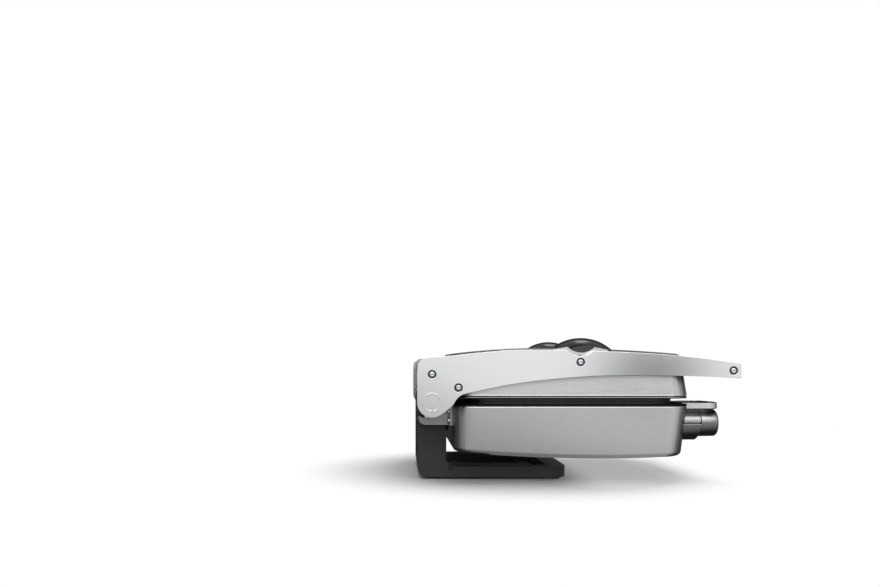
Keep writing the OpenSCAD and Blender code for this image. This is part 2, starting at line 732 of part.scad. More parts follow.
// Solid between the crowned floor and a flat top, inside or outside the lower casing
module on_floor(x0, x1, z, side) {
    polygon(concat([[x1, z], [x0, z]],
        [for (i = [0 : 6]) let (x = x0 + (x1 - x0) * i / 6) [x, side - crown_z(lower_crown, x)]]));
}
block_back = 18;
block_l = 28;
block_x = [casing_back + block_back, casing_back + block_back + block_l];
block_w = 40;
block_top = -lower_h * 0.62;
module terminal_block() {
    color("wheat") at_axis() upright(-block_w / 2, block_w / 2)
        on_floor(block_x[0], block_x[1], block_top, casing_wall + fit_gap);
}
cover_x = [casing_back + casing_l * 0.68, casing_back + casing_l * 0.869];
cover_w = 80;
cover_h = 4.7;
module underside_cover() {
    z = -crown_z(lower_crown, cover_x[1]) - cover_h;
    color([0.75, 0.75, 0.75]) at_axis() intersection() {
        upright(-cover_w / 2, cover_w / 2) polygon(concat(
            [[cover_x[1] - cover_h, z], [cover_x[0] + cover_h, z]],
            [for (i = [0 : 6]) let (x = cover_x[0] + (cover_x[1] - cover_x[0]) * i / 6)
                [x, -crown_z(lower_crown, x) - fit_gap]]));
        flat(z - overrun, 0) pad(cover_x[0], cover_x[1], -cover_w / 2, cover_w / 2, cover_h);
    }
}

// Thermostat: body behind the front wall, collar through the wall, spindle to the knob
collar_root = 4;
collar_in = wall_at_knob - collar_root;
collar_end = casing_front + collar_l;
stat_l = 20;
stat_neck = 3;
stat_w = 26;
stat_space = 1.4;
stat_up = knob_drop - plate_d - stat_space;
module thermostat() {
    color("lightgray") at_axis() difference() {
        union() {
            block([collar_in - stat_neck - stat_l, -knob_y - stat_w / 2, -knob_drop - stat_up],
                  [collar_in - stat_neck, stat_w / 2 - knob_y, stat_up - knob_drop]);
            rod_x(stat_up, collar_in - stat_neck - overrun, collar_in, -knob_y, -knob_drop);
        }
        rod_x(spindle_d / 2 + run_gap, collar_in - stat_neck - stat_l / 2, collar_in + overrun,
              -knob_y, -knob_drop);
    }
}
module thermostat_collar() {
    color([0.13, 0.13, 0.13]) at_axis() difference() {
        facing(collar_in, collar_end, -knob_y, -knob_drop) collar_outline(0);
        rod_x(spindle_d / 2 + clear_gap, collar_in - overrun, collar_end + overrun, -knob_y, -knob_drop);
    }
}
module thermostat_spindle() {
    color("silver") at_axis() rod_x(spindle_d / 2, collar_in - stat_neck - stat_l / 2 + clear_gap,
        collar_end + knob_l / 2, -knob_y, -knob_drop);
}
knob_round = 3;
knob_draft = 0.4;
knob_back = collar_end + clear_gap;
module thermostat_knob() {
    color([0.1, 0.1, 0.1]) at_axis() translate([knob_back, -knob_y, -knob_drop])
        rotate([0, 90, 0]) difference() {
        rotate_extrude() polygon(concat([[0, 0], [knob_r, 0]],
            [for (a = [0 : 15 : 90]) [knob_r - knob_draft - knob_round * (1 - cos(a)),
                                      knob_l - knob_round * (1 - sin(a))]],
            [[0, knob_l]]));
        translate([0, 0, -overrun]) cylinder(r = spindle_d / 2 + fit_gap / 4, h = knob_l / 2 + overrun);
        translate([-pointer_w / 2, 0, knob_l - pointer_t]) cube([pointer_w, pointer_l, 2 * pointer_t]);
    }
}
pointer_w = 2.4;
pointer_l = knob_r * 0.7;
pointer_t = 1;
module knob_pointer() {
    color("white") at_axis() translate([knob_back, -knob_y, -knob_drop]) rotate([0, 90, 0])
        translate([fit_gap - pointer_w / 2, fit_gap, knob_l - pointer_t])
            cube([pointer_w - 2 * fit_gap, pointer_l - 2 * fit_gap, pointer_t]);
}
module signal_lamps() {
    r = lamp_d / 2;
    color("orange") at_axis() for (y = lamp_places)
        translate([wall_at_knob, y * knob_y, -knob_drop]) rotate([0, 90, 0]) rotate_extrude()
            polygon(concat([[0, -2 * lamp_d], [r, -2 * lamp_d]],
                [for (a = [0 : 15 : 90]) r * [cos(a), 0.25 + sin(a) / 2]]));
}

// Cord gland: sleeve through the rear wall, flange outside, nut inside
gland_out = 10;
gland_flange = 2;
gland_in = 7;
gland_rim = 2.4;
nut_t = 3.5;
nut_rim = 3;
module cord_gland() {
    color([0.1, 0.1, 0.1]) at_axis() difference() {
        union() {
            rod_x(gland_r, casing_back - gland_out, casing_back + gland_in, 0, -inlet_drop);
            rod_x(gland_r + gland_rim, casing_back - fit_gap - gland_flange,
                  casing_back - fit_gap, 0, -inlet_drop);
        }
        rod_x(inlet_d / 2, casing_back - gland_out - overrun, casing_back + gland_in + overrun,
              0, -inlet_drop);
    }
}
module gland_nut() {
    color("gray") at_axis() difference() {
        translate([casing_back + casing_wall + fit_gap, 0, -inlet_drop]) rotate([0, 90, 0])
            cylinder(r = gland_r + nut_rim, h = nut_t, $fn = 6);
        rod_x(gland_r + fit_gap / 4, casing_back, casing_back + casing_wall + nut_t + 2 * overrun,
              0, -inlet_drop);
    }
}

// Front grip: black core with a metal band round its sides and front
grip_r = grip_w / 4;
band_t = 1.6;
band_below = 0.8;
core_sunk = 0.6;
band_h = grip_t - band_below;
grip_bow = grip_w * 1.1;
module grip_plan(inset) {
    intersection() {
        pad(casing_front - 2 * grip_r, grip_tip - inset, inset - grip_w / 2, grip_w / 2 - inset,
            grip_r - inset);
        translate([grip_tip - inset - grip_bow, 0]) circle(grip_bow, $fn = 96);
    }
    translate([casing_front - 2 * grip_r, inset - grip_w / 2]) square([2.5 * grip_r, grip_w - 2 * inset]);
}
// Side of the grip: its root follows the casing's leaning wall
module grip_side(z0, z1) {
    polygon([[front_x(lower_crown, lower_edge, -z1) + fit_gap, z1], [grip_tip + overrun, z1],
             [grip_tip + overrun, z0], [front_x(lower_crown, lower_edge, -z0) + fit_gap, z0]]);
}
module front_grip() {
    color([0.1, 0.1, 0.1]) at_axis() difference() {
        intersection() {
            flat(grip_z - grip_t, grip_z - core_sunk) grip_plan(band_t + fit_gap);
            upright(-grip_w, grip_w) grip_side(grip_z - grip_t, grip_z);
        }
        for (y = [-grip_screw_y, grip_screw_y])
            rod_x(grip_screw_r + fit_gap / 4, casing_front - 3 * front_lean,
                  casing_front + grip_l / 4, y, grip_screw_z);
    }
}
module front_grip_band() {
    color("silver") at_axis() intersection() {
        flat(grip_z - band_h, grip_z) difference() {
            grip_plan(0);
            grip_plan(band_t);
        }
        upright(-grip_w, grip_w) grip_side(grip_z - grip_t, grip_z);
        block([front_x(lower_crown, lower_edge, -grip_z) + fit_gap, -grip_w, -lower_h],
              [grip_tip + overrun, grip_w, 0]);
    }
}
grip_root = front_x(lower_crown, lower_edge, -grip_screw_z);
module grip_screws() {
    color("gray") at_axis() for (y = [-grip_screw_y, grip_screw_y]) {
        rod_x(grip_screw_r, grip_root - casing_wall - grip_screw_r,
              casing_front + grip_l / 4 - fit_gap, y, grip_screw_z);
        rod_x(grip_head_r, grip_root - casing_wall - 2 * grip_screw_r - clear_gap,
              grip_root - casing_wall - clear_gap - grip_screw_r * 0.4, y, grip_screw_z);
    }
}

// LID

module lid_casing() {
    color("silver") at_axis() difference() {
        casing_form(lid_crown, lid_edge, lid_edge, 0, 0);
        casing_form(lid_crown, lid_edge, lid_edge - overrun, casing_wall, casing_wall);
        both() for (z = bracket_screw_z) rod_x(ear_screw_r + fit_gap, casing_back - overrun,
            casing_back + casing_wall + overrun, bracket_screw_y, z);
    }
}

// Outline of an arm in shares of its reach and its rise, from the tail's top round to the tail
arm_top_shares = [[-0.0465, 0.72], [-0.022, 0.842], [0.058, 0.887], [0.183, 0.962], [0.286, 1],
    [0.523, 0.981], [0.803, 0.887], [1, 0.736]];
arm_low_shares = [[1, 0.455], [0.893, 0.491], [0.671, 0.526], [0.485, 0.492], [0.286, 0.375],
    [0.128, 0.194], [0.087, 0.108], [0.064, -0.07], [0.03, -0.225]];
function arm_points(shares) = [for (p = shares) [p[0] * arm_reach, p[1] * arm_rise]];
arm_bush_r = shaft_r + bush_wall;
// Screws of an arm: handle, foot, bracket front and bracket top
bracket_ahead = 4.1;
arm_screws_at = [[arm_reach * 0.975, arm_rise * 0.606], [arm_reach * 0.4804, arm_rise * 0.766],
    [casing_back + bracket_ahead, arm_rise * 0.283], [0, arm_rise * 0.536]];
arm_screw_r = 1.9;
arm_head_r = 3;
arm_recess_r = 4.5;
arm_recess = 1.8;
washer_t = 0.7;
module arm() {
    difference() {
        upright(arm_in, arm_out) difference() {
            polygon(concat([[-arm_tail_r, arm_rise * 0.54]],
                smooth(arm_points(arm_top_shares), 4), smooth(arm_points(arm_low_shares), 4),
                [for (a = [60 : 10 : 180]) arm_tail_r * [cos(a), -sin(a)]]));
            translate([arm_screws_at[1][0], arm_rise * 0.981 - scallop_depth + scallop_r])
                circle(scallop_r);
        }
        rod_y(arm_bush_r + fit_gap / 4, arm_in - overrun, arm_out + overrun);
        for (p = arm_screws_at) {
            rod_y(arm_screw_r + fit_gap, arm_in - overrun, arm_out + overrun, p[0], p[1]);
            rod_y(arm_recess_r, arm_out - arm_recess, arm_out + overrun, p[0], p[1]);
        }
    }
}
module arm_left() { color("lightgray") at_axis() mirror([0, 1, 0]) arm(); }
module arm_right() { color("lightgray") at_axis() arm(); }
module arm_bushes() {
    color("goldenrod") at_axis() both() tube_y(arm_bush_r, shaft_r + run_gap, arm_in, arm_out - fit_gap);
}
handle_hold = 12;
arm_screw_l = arm_t + handle_hold;
screw_end_gap = 1.5;
arm_screw_short = arm_t + arm_gap - screw_end_gap;
module arm_screws() {
    color("silver") at_axis() both() for (i = [0 : 3]) {
        p = arm_screws_at[i];
        reach = i == 0 ? arm_screw_l : arm_screw_short;
        difference() {
            union() {
                rod_y(arm_head_r, arm_out - arm_recess + washer_t + 2 * fit_gap,
                      arm_out + fit_gap * 4, p[0], p[1]);
                rod_y(arm_screw_r, arm_out - reach, arm_out, p[0], p[1]);
            }
            translate([p[0], arm_out + overrun, p[1]]) rotate([90, 0, 0])
                cylinder(r = arm_head_r / 2, h = arm_recess + overrun, $fn = 6);
        }
    }
}
// Washers at the bottom of the arms' recesses, under the screws' heads
module arm_washers() {
    color([0.1, 0.1, 0.1]) at_axis() both() for (p = arm_screws_at) difference() {
        rod_y(arm_recess_r - fit_gap, arm_out - arm_recess + fit_gap,
              arm_out - arm_recess + fit_gap + washer_t, p[0], p[1]);
        rod_y(arm_screw_r + fit_gap, arm_out - arm_recess, arm_out, p[0], p[1]);
    }
}

// Handle bar, a slice of a wide ring with rounded edges
handle_chord = 2 * arm_in;
bow_r = (pow(handle_chord / 2, 2) + pow(handle_bow, 2)) / 2 / handle_bow;
handle_z = arm_screws_at[0][1];
bow_sweep = 50;
module handle_bar() {
    color([0.12, 0.12, 0.12]) at_axis() difference() {
        intersection() {
            translate([handle_tip + handle_bow - bow_r, 0, handle_z]) rotate(-bow_sweep / 2)
                rotate_extrude(angle = bow_sweep, $fn = 180)
                    pad(bow_r - handle_w, bow_r, -handle_h / 2, handle_h / 2, handle_r);
            block([casing_front, -arm_in, -handle_h], [handle_tip + 2 * handle_bow, arm_in, 2 * lid_h]);
        }
        both() rod_y(arm_screw_r + fit_gap / 4, arm_out - arm_screw_l - fit_gap, arm_out,
                     arm_screws_at[0][0], handle_z);
    }
}

// Domed foot on the lid, seated on the crown and cut flat against the arm
dome_y = arm_in - dome_in;
dome_skirt = arm_rise * 0.8;
boss_r = 8;
module lid_foot() {
    difference() {
        union() {
            intersection() {
                translate([dome_x, dome_y, dome_top - dome_r]) sphere(dome_r, $fn = 96);
                block([dome_x - dome_r, dome_y - dome_r, dome_skirt],
                      [dome_x + dome_r, arm_in, dome_top + overrun]);
            }
            rod_y(boss_r, casing_w / 2 + 2 * fit_gap, arm_in, arm_screws_at[1][0], arm_screws_at[1][1]);
        }
        casing_form(lid_crown, lid_edge, lid_edge, -2 * fit_gap, -2 * fit_gap);
        rod_y(arm_screw_r + fit_gap / 4, arm_out - arm_screw_short - fit_gap, arm_out,
              arm_screws_at[1][0], arm_screws_at[1][1]);
    }
}
module lid_foot_left() { color([0.05, 0.05, 0.05]) at_axis() mirror([0, 1, 0]) lid_foot(); }
module lid_foot_right() { color([0.05, 0.05, 0.05]) at_axis() lid_foot(); }

// Bracket between an arm and the lid's rear wall
bracket_above = 2;
bracket_low = spacer_r + bracket_above;
bracket_high = arm_rise * 0.78;
bracket_back = 9;
bracket_front = 12;
bracket_r = 3;
bracket_side = casing_w / 2 + 4 * fit_gap;
bracket_screw_z = [arm_rise * 0.36, arm_rise * 0.66];
bracket_screw_y = casing_w / 2 - casing_r - bracket_r;
bracket_t = 6;
module lid_bracket() {
    difference() {
        union() {
            upright(bracket_side, arm_in)
                pad(-bracket_back, casing_back + bracket_front, bracket_low, bracket_high, bracket_r);
            block([casing_back - bracket_t, bracket_in, bracket_low],
                  [casing_back, bracket_side + overrun, bracket_high]);
        }
        for (i = [2, 3]) rod_y(arm_screw_r + fit_gap / 4, arm_out - arm_screw_short - fit_gap, arm_out,
            arm_screws_at[i][0], arm_screws_at[i][1]);
        for (z = bracket_screw_z) rod_x(ear_screw_r + fit_gap, casing_back - bracket_t - overrun,
            casing_back + overrun, bracket_screw_y, z);
    }
}
module lid_bracket_left() { color("gray") at_axis() mirror([0, 1, 0]) lid_bracket(); }
module lid_bracket_right() { color("gray") at_axis() lid_bracket(); }
module bracket_screws() {
    color("silver") at_axis() both() for (z = bracket_screw_z) {
        rod_x(ear_screw_r, casing_back - bracket_t, casing_back + casing_wall + ear_screw_r,
              bracket_screw_y, z);
        rod_x(ear_screw_r * 1.8, casing_back - bracket_t - ear_screw_r, casing_back - bracket_t,
              bracket_screw_y, z);
    }
}

base_frame();
base_pan();
base_pan_screws();
base_side_screws();
base_feet();
hinge_shaft();
shaft_spacers();
stop_pins();
shaft_grub_screws();
pivot_cap_left();
pivot_cap_right();
hinge_ear_left();
hinge_ear_right();
ear_bushes();
ear_screws();
lower_casing();
lower_trim_frame();
lower_baking_plate();
lower_heater();
lower_reflector();
lower_thermal_fuse();
lower_plate_posts();
lower_casing_screws();
terminal_block();
thermostat();
thermostat_collar();
signal_lamps();
cord_gland();
gland_nut();
underside_cover();
front_grip();
front_grip_band();
grip_screws();
thermostat_knob();
knob_pointer();
thermostat_spindle();
lid_casing();
lid_trim_frame();
lid_baking_plate();
lid_heater();
lid_reflector();
lid_thermal_fuse();
lid_plate_posts();
arm_left();
arm_right();
arm_bushes();
handle_bar();
arm_screws();
arm_washers();
lid_foot_left();
lid_foot_right();
lid_bracket_left();
lid_bracket_right();
bracket_screws();
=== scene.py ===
import math

import bmesh
import bpy
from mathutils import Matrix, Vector


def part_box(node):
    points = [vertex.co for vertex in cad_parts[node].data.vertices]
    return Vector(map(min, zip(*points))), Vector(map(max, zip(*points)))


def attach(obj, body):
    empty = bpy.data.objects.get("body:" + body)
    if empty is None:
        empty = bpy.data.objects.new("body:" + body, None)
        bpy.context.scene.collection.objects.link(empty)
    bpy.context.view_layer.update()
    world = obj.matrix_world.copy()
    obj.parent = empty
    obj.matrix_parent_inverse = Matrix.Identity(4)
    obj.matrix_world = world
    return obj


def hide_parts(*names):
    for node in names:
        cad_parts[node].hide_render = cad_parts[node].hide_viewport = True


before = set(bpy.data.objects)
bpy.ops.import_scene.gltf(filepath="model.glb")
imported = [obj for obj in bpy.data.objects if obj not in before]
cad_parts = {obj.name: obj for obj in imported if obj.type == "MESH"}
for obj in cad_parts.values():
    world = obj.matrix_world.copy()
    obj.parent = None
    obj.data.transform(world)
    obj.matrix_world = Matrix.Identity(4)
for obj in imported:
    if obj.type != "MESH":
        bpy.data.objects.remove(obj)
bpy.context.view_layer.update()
scene = bpy.context.scene
scene.view_settings.view_transform = "Standard"

# Camera
# The maker is photographed from its side by a level lens as high as its lid, shifted and not
# tilted, so that upright lines stay upright. Every size below is in millimetres from the hinge
# axis, which runs across the maker.
shaft_low, shaft_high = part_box("hinge_shaft")
axis_x = (shaft_low.x + shaft_high.x) / 2
axis_z = (shaft_low.z + shaft_high.z) / 2
arm_out = 142.5
lens_x, lens_z = -33.75, 43.8
lens_distance = 950.0


def place(x, y, z):
    """A point given in millimetres from the hinge axis, in metres in the row frame."""
    return Vector((axis_x + x / 1000, y / 1000, axis_z + z / 1000))


camera_data = bpy.data.cameras.new("side_camera")
camera = bpy.data.objects.new("side_camera", camera_data)
scene.collection.objects.link(camera)
scene.camera = camera
camera.location = place(lens_x, -arm_out - lens_distance, lens_z)
camera.rotation_euler = (math.radians(90), 0, 0)
camera_data.sensor_width = 36
camera_data.lens = 37.02
camera_data.shift_x = 0.0455
camera_data.shift_y = 0.0767
camera_data.clip_end = 50


# Table
# A seamless top of matt white paper that the maker stands on. The lens sees its soft shadow
# near the maker and a painted white glow further off. Its places are in millimetres from its
# middle.
table_width = 12000.0

# The lens sees the shadow within a circle. Round it, and in two steps to its right, a painted
# white glow covers it.
shadow_x, shadow_fade = -60.0, (130.0, 270.0)
painted_glow_steps = ((-40.0, 30.0, 0.38), (80.0, 170.0, 1.0))

# Shiny pieces see only a glow from the paper, with painted shade near the maker, on its left and
# round its front corners, where side_fade is in degrees from straight ahead. Each low is the
# dimmest that it gets.
near_fade, near_low = (150.0, 450.0), 0.5
corner_x, corner_y, side_fade, side_low = 100.0, -130.0, (32, 105), 0.1
left_fade, left_low = (-100.0, 120.0), 0.6
smooth_step = {"interpolation_type": "SMOOTHSTEP"}


def shade(hex_colour):
    """An sRGB hex colour as linear RGBA."""
    parts = [int(hex_colour[i:i + 2], 16) / 255 for i in (1, 3, 5)]
    return [c / 12.92 if c <= 0.04045 else ((c + 0.055) / 1.055) ** 2.4 for c in parts] + [1]


def add(tree, kind, settings=None, inputs=None):
    """Adds a node with its settings; an input is a plain value or another node's output."""
    made = tree.nodes.new("ShaderNode" + kind)
    for name, value in (settings or {}).items():
        setattr(made, name, value)
    for socket, value in (inputs or {}).items():
        if isinstance(value, bpy.types.NodeSocket):
            tree.links.new(value, made.inputs[socket])
        else:
            made.inputs[socket].default_value = value
    return made


def start_material(name):
    """A new material with no nodes, and its node tree."""
    material = bpy.data.materials.new(name)
    material.use_nodes = True
    material.node_tree.nodes.clear()
    return material, material.node_tree


# Matt paper has no gloss of its own. It is drawn grey so that its shadow comes out deep, and a
# painted white glow turns it white round the shadow. Shiny pieces see only that glow, with painted
# shade near the maker, which shades it, and towards the studio's dim sides.
paper_with_painted_glow, tree = start_material("paper_with_painted_glow")
ray = add(tree, "LightPath")
where = add(tree, "TexCoord").outputs["Object"]
spot = add(tree, "SeparateXYZ", inputs={"Vector": where})
beside = add(tree, "VectorMath", {"operation": "ADD"}, {0: where, 1: (-shadow_x / 1000, 0, 0)})
beside = add(tree, "VectorMath", {"operation": "LENGTH"}, {0: beside.outputs[0]})
painted_glow_share = add(tree, "MapRange", smooth_step, {
    "Value": beside.outputs["Value"], "From Min": shadow_fade[0] / 1000,
    "From Max": shadow_fade[1] / 1000}).outputs[0]
for start, end, most in painted_glow_steps:
    right = add(tree, "MapRange", smooth_step, {
        "Value": spot.outputs["X"], "From Min": start / 1000, "From Max": end / 1000,
        "To Max": most})
    painted_glow_share = add(tree, "Math", {"operation": "MAXIMUM"}, {0: painted_glow_share, 1: right.outputs[0]}).outputs[0]
reach = add(tree, "VectorMath", {"operation": "LENGTH"}, {0: where}).outputs["Value"]
near_painted_shade = add(tree, "MapRange", smooth_step, {
    "Value": reach, "From Min": near_fade[0] / 1000, "From Max": near_fade[1] / 1000,
    "To Min": near_low})
aside = add(tree, "Math", {"operation": "ABSOLUTE"}, {0: spot.outputs["X"]})
aside = add(tree, "Math", {"operation": "SUBTRACT"}, {0: aside.outputs[0], 1: corner_x / 1000})
ahead = add(tree, "Math", {"operation": "SUBTRACT"}, {0: corner_y / 1000, 1: spot.outputs["Y"]})
turn = add(tree, "Math", {"operation": "ARCTAN2"}, {0: aside.outputs[0], 1: ahead.outputs[0]})
side_tone = add(tree, "MapRange", smooth_step, {
    "Value": turn.outputs[0], "From Min": math.radians(side_fade[0]),
    "From Max": math.radians(side_fade[1]), "To Min": 1.0, "To Max": side_low})
left_tone = add(tree, "MapRange", smooth_step, {
    "Value": spot.outputs["X"], "From Min": left_fade[0] / 1000,
    "From Max": left_fade[1] / 1000, "To Min": left_low})
mirrored = near_painted_shade
for tone in (side_tone, left_tone):
    mirrored = add(tree, "Math", {"operation": "MULTIPLY"}, {
        0: mirrored.outputs[0], 1: tone.outputs[0]})
seen = add(tree, "Math", {"operation": "MULTIPLY_ADD"}, {
    0: mirrored.outputs[0], 1: ray.outputs["Is Glossy Ray"], 2: ray.outputs["Is Camera Ray"]})
glow = add(tree, "Emission", inputs={"Color": (1, 1, 1, 1), "Strength": seen.outputs[0]})
paper = add(tree, "BsdfDiffuse", inputs={"Color": shade("#B8B8B8")})
share = add(tree, "Math", {"operation": "MAXIMUM"}, {0: painted_glow_share, 1: ray.outputs["Is Glossy Ray"]})
both = add(tree, "MixShader", inputs={
    0: share.outputs[0], 1: paper.outputs[0], 2: glow.outputs[0]})
add(tree, "OutputMaterial", inputs={"Surface": both.outputs[0]})

bpy.ops.object.select_all(action="DESELECT")
bpy.ops.mesh.primitive_plane_add(size=table_width / 1000, location=(0, 0, 0))
table = bpy.context.object
table.name = "table"
table.data.materials.append(paper_with_painted_glow)


# Base
# A heavy cast frame, powder coated charcoal: two posts for the hinge, long bars under the
# head, crossbars front and back. A coated sheet is screwed into the window between them.
weld_gap = 0.01
flat_angle = 0.6


def surface(name, colour, metallic, roughness, grain, depth, vary, coat=0.0, speck=None,
            gloss=0.5):
    """A solid finish. grain is the size in millimetres of its texture along X, Y and Z, depth
    its height in millimetres, vary how far it moves the roughness, speck a second colour. A
    texture finer than 0.4 mm wouldn't show in the picture, so it is drawn that coarse."""
    material, tree = start_material(name)
    where = add(tree, "TexCoord").outputs["Object"]
    scaled = add(tree, "Mapping", inputs={
        "Vector": where, "Scale": [1000 / size for size in grain]})
    noise = add(tree, "TexNoise", inputs={
        "Vector": scaled.outputs[0], "Scale": 1, "Detail": 3, "Roughness": 0.6}).outputs["Fac"]
    rough = add(tree, "MapRange", inputs={
        "Value": noise, "From Min": 0.3, "From Max": 0.7,
        "To Min": roughness - vary, "To Max": roughness + vary})
    bump = add(tree, "Bump", inputs={"Height": noise, "Distance": depth / 1000, "Strength": 1})
    inputs = {"Base Color": shade(colour), "Metallic": metallic, "Roughness": rough.outputs[0],
              "Coat Weight": coat, "Coat Roughness": 0.06, "Specular IOR Level": gloss,
              "Normal": bump.outputs[0]}
    if speck:
        amount = add(tree, "MapRange", inputs={
            "Value": noise, "From Min": 0.35, "From Max": 0.68})
        inputs["Base Color"] = add(tree, "Mix", {"data_type": "RGBA"}, {
            0: amount.outputs[0], 6: shade(colour), 7: shade(speck)}).outputs[2]
    shader = add(tree, "BsdfPrincipled", inputs=inputs)
    add(tree, "OutputMaterial", inputs={"Surface": shader.outputs[0]})
    return material


def active(piece):
    """Makes one object the only selected one."""
    bpy.ops.object.select_all(action="DESELECT")
    piece.select_set(True)
    bpy.context.view_layer.objects.active = piece
    return piece


def keep_flat(piece):
    """Lets a piece's large faces shade flat, so that only its rounded edges shade round."""
    weighted = piece.modifiers.new("flat_faces", "WEIGHTED_NORMAL")
    weighted.weight = 100
    weighted.keep_sharp = True
    bpy.ops.object.modifier_apply(modifier=weighted.name)


def apply_bevel(piece, width, angle=38, segments=3, smooth=38):
    """Rounds a piece's edges by width in millimetres and smooths its shading."""
    active(piece)
    bevel = piece.modifiers.new("rounded_edges", "BEVEL")
    bevel.width = width / 1000
    bevel.segments = segments
    bevel.limit_method = "ANGLE"
    bevel.angle_limit = math.radians(angle)
    bevel.miter_outer = "MITER_ARC"
    bpy.ops.object.modifier_apply(modifier=bevel.name)
    bpy.ops.object.shade_smooth_by_angle(angle=math.radians(smooth))
    keep_flat(piece)
    return piece


def finish(piece, body, slot, material, *nodes):
    """Gives a piece its material and its body, and hides the CAD nodes that it stands for. The
    slot is not used.
    """
    piece.data.materials.clear()
    piece.data.materials.append(material)
    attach(piece, body)
    if nodes:
        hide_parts(*nodes)
    return piece


def merged_copy(node, name, join_flats=True):
    """A copy of a CAD node with its loose triangles merged, and joined where they are flat. A
    face with many holes or wells in it keeps its triangles, because they shade more evenly."""
    piece = bpy.data.objects.new(name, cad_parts[node].data.copy())
    scene.collection.objects.link(piece)
    active(piece)
    bpy.ops.object.mode_set(mode="EDIT")
    bpy.ops.mesh.select_all(action="SELECT")
    bpy.ops.mesh.remove_doubles(threshold=weld_gap / 1000)
    if join_flats:
        bpy.ops.mesh.dissolve_limited(angle_limit=math.radians(flat_angle))
    bpy.ops.object.mode_set(mode="OBJECT")
    return piece


def rounded_copy(node, name, width, segments=3, join_flats=True):
    """A merged copy of a CAD node with its edges rounded."""
    return apply_bevel(merged_copy(node, name, join_flats), width, segments=segments)


def finish_nodes(material, *nodes):
    """Gives CAD nodes that keep their own shape a material."""
    for node in nodes:
        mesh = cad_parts[node].data
        mesh.materials.clear()
        mesh.materials.append(material)


# Powder coat: dull charcoal with a fine orange peel, which breaks up its few highlights.
powder_coat = surface("charcoal_powder_coat", "#333334", metallic=0.0, roughness=0.45,
                      grain=(0.9, 0.9, 0.9), depth=0.03, vary=0.07, speck="#3A3A3B", gloss=0.22)
finish(rounded_copy("base_frame", "cast_base", width=1.0), "base", "base_paint", powder_coat,
       "base_frame")
# The same coat on flat sheet, drawn a paler grey as painted light for its place in the head's
# shade, with a broad soft sheen.
lightened_sheet_coat = surface("charcoal_sheet_painted_light", "#565657", metallic=0.0, roughness=0.45,
                     grain=(0.9, 0.9, 0.9), depth=0.03, vary=0.07, speck="#5E5E5F")
finish(rounded_copy("base_pan", "base_sheet", width=0.3, join_flats=False), "base", "base_paint",
       lightened_sheet_coat, "base_pan")

# Moulded rubber: nearly black and matt, so that the feet melt into their shadow.
soft_rubber = surface("moulded_rubber", "#141414", metallic=0.0, roughness=0.7,
                      grain=(0.6, 0.6, 0.6), depth=0.03, vary=0.08, speck="#1B1B1B")
finish(rounded_copy("base_feet", "rubber_feet", width=0.4), "base", "rubber", soft_rubber,
       "base_feet")
# Black zinc plate: dark metal that still catches a small bright glint.
black_zinc = surface("black_zinc_plate", "#3A3A3C", metallic=1.0, roughness=0.3,
                     grain=(0.8, 0.8, 0.8), depth=0.004, vary=0.06, speck="#323234")
finish(rounded_copy("base_side_screws", "post_screws", width=0.3), "base", "zinc", black_zinc,
       "base_side_screws")

# Zinc plate: a soft cloudy grey that mirrors nothing sharply.
dull_zinc = surface("zinc_plate", "#8E8F90", metallic=1.0, roughness=0.38, grain=(1.2, 1.2, 1.2),
                    depth=0.006, vary=0.08, speck="#7E7F80")
finish_nodes(dull_zinc, "base_pan_screws")

# Hinge
# A ground steel shaft held in the posts by grub screws. Turned spacers keep the ears and the
# arms apart on it, pins in the posts stop the ears, and caps of satin aluminium close its ends.

# Ground steel: bright metal with faint lines drawn out across the maker.
ground_steel = surface("ground_steel", "#B4B4B2", metallic=1.0, roughness=0.24,
                       grain=(0.5, 30, 0.5), depth=0.004, vary=0.05, speck="#A4A4A4")
# Satin anodised aluminium: the palest metal here, with level lines so fine that its faces
# look like one clean sheen.
satin_aluminium = surface("satin_aluminium", "#E2E3E4", metallic=1.0, roughness=0.14,
                          grain=(38, 0.5, 0.45), depth=0.001, vary=0.02, speck="#DEDFE0")
finish_nodes(ground_steel, "stop_pins")
finish_nodes(dull_zinc, "shaft_grub_screws")
finish(rounded_copy("hinge_shaft", "steel_shaft", width=0.4), "base", "steel", ground_steel,
       "hinge_shaft")
finish(rounded_copy("shaft_spacers", "turned_spacers", width=0.5), "base", "steel", ground_steel,
       "shaft_spacers")
for side in ("left", "right"):
    cap = rounded_copy(f"pivot_cap_{side}", f"shaft_cap_{side}", width=0.25)
    finish(cap, "base", "arm_alu", satin_aluminium, f"pivot_cap_{side}")

# Ears
# Pressed steel ears, zinc plated, screwed to the lower casing's rear wall. Bronze bushes turn
# on the shaft, and the front of each ear's rim meets the stop pin.

# Sintered bronze: warm brown metal with open pores.
sintered_bronze = surface("sintered_bronze", "#A8794A", metallic=1.0, roughness=0.4,
                          grain=(0.4, 0.4, 0.4), depth=0.01, vary=0.1, speck="#8C6238")
finish_nodes(sintered_bronze, "ear_bushes")
# Polished stainless steel: small mirrors, bright above and dark below.
polished_screw = surface("polished_stainless", "#C9C9C9", metallic=1.0, roughness=0.16,
                         grain=(0.5, 0.5, 0.5), depth=0.002, vary=0.04, speck="#BEBEBE")
for side in ("left", "right"):
    ear = rounded_copy(f"hinge_ear_{side}", f"ear_{side}", width=0.5)
    finish(ear, "lower_half", "zinc", dull_zinc, f"hinge_ear_{side}")
finish(rounded_copy("ear_screws", "ear_bolts", width=0.4), "lower_half", "head_screw",
       polished_screw, "ear_screws")

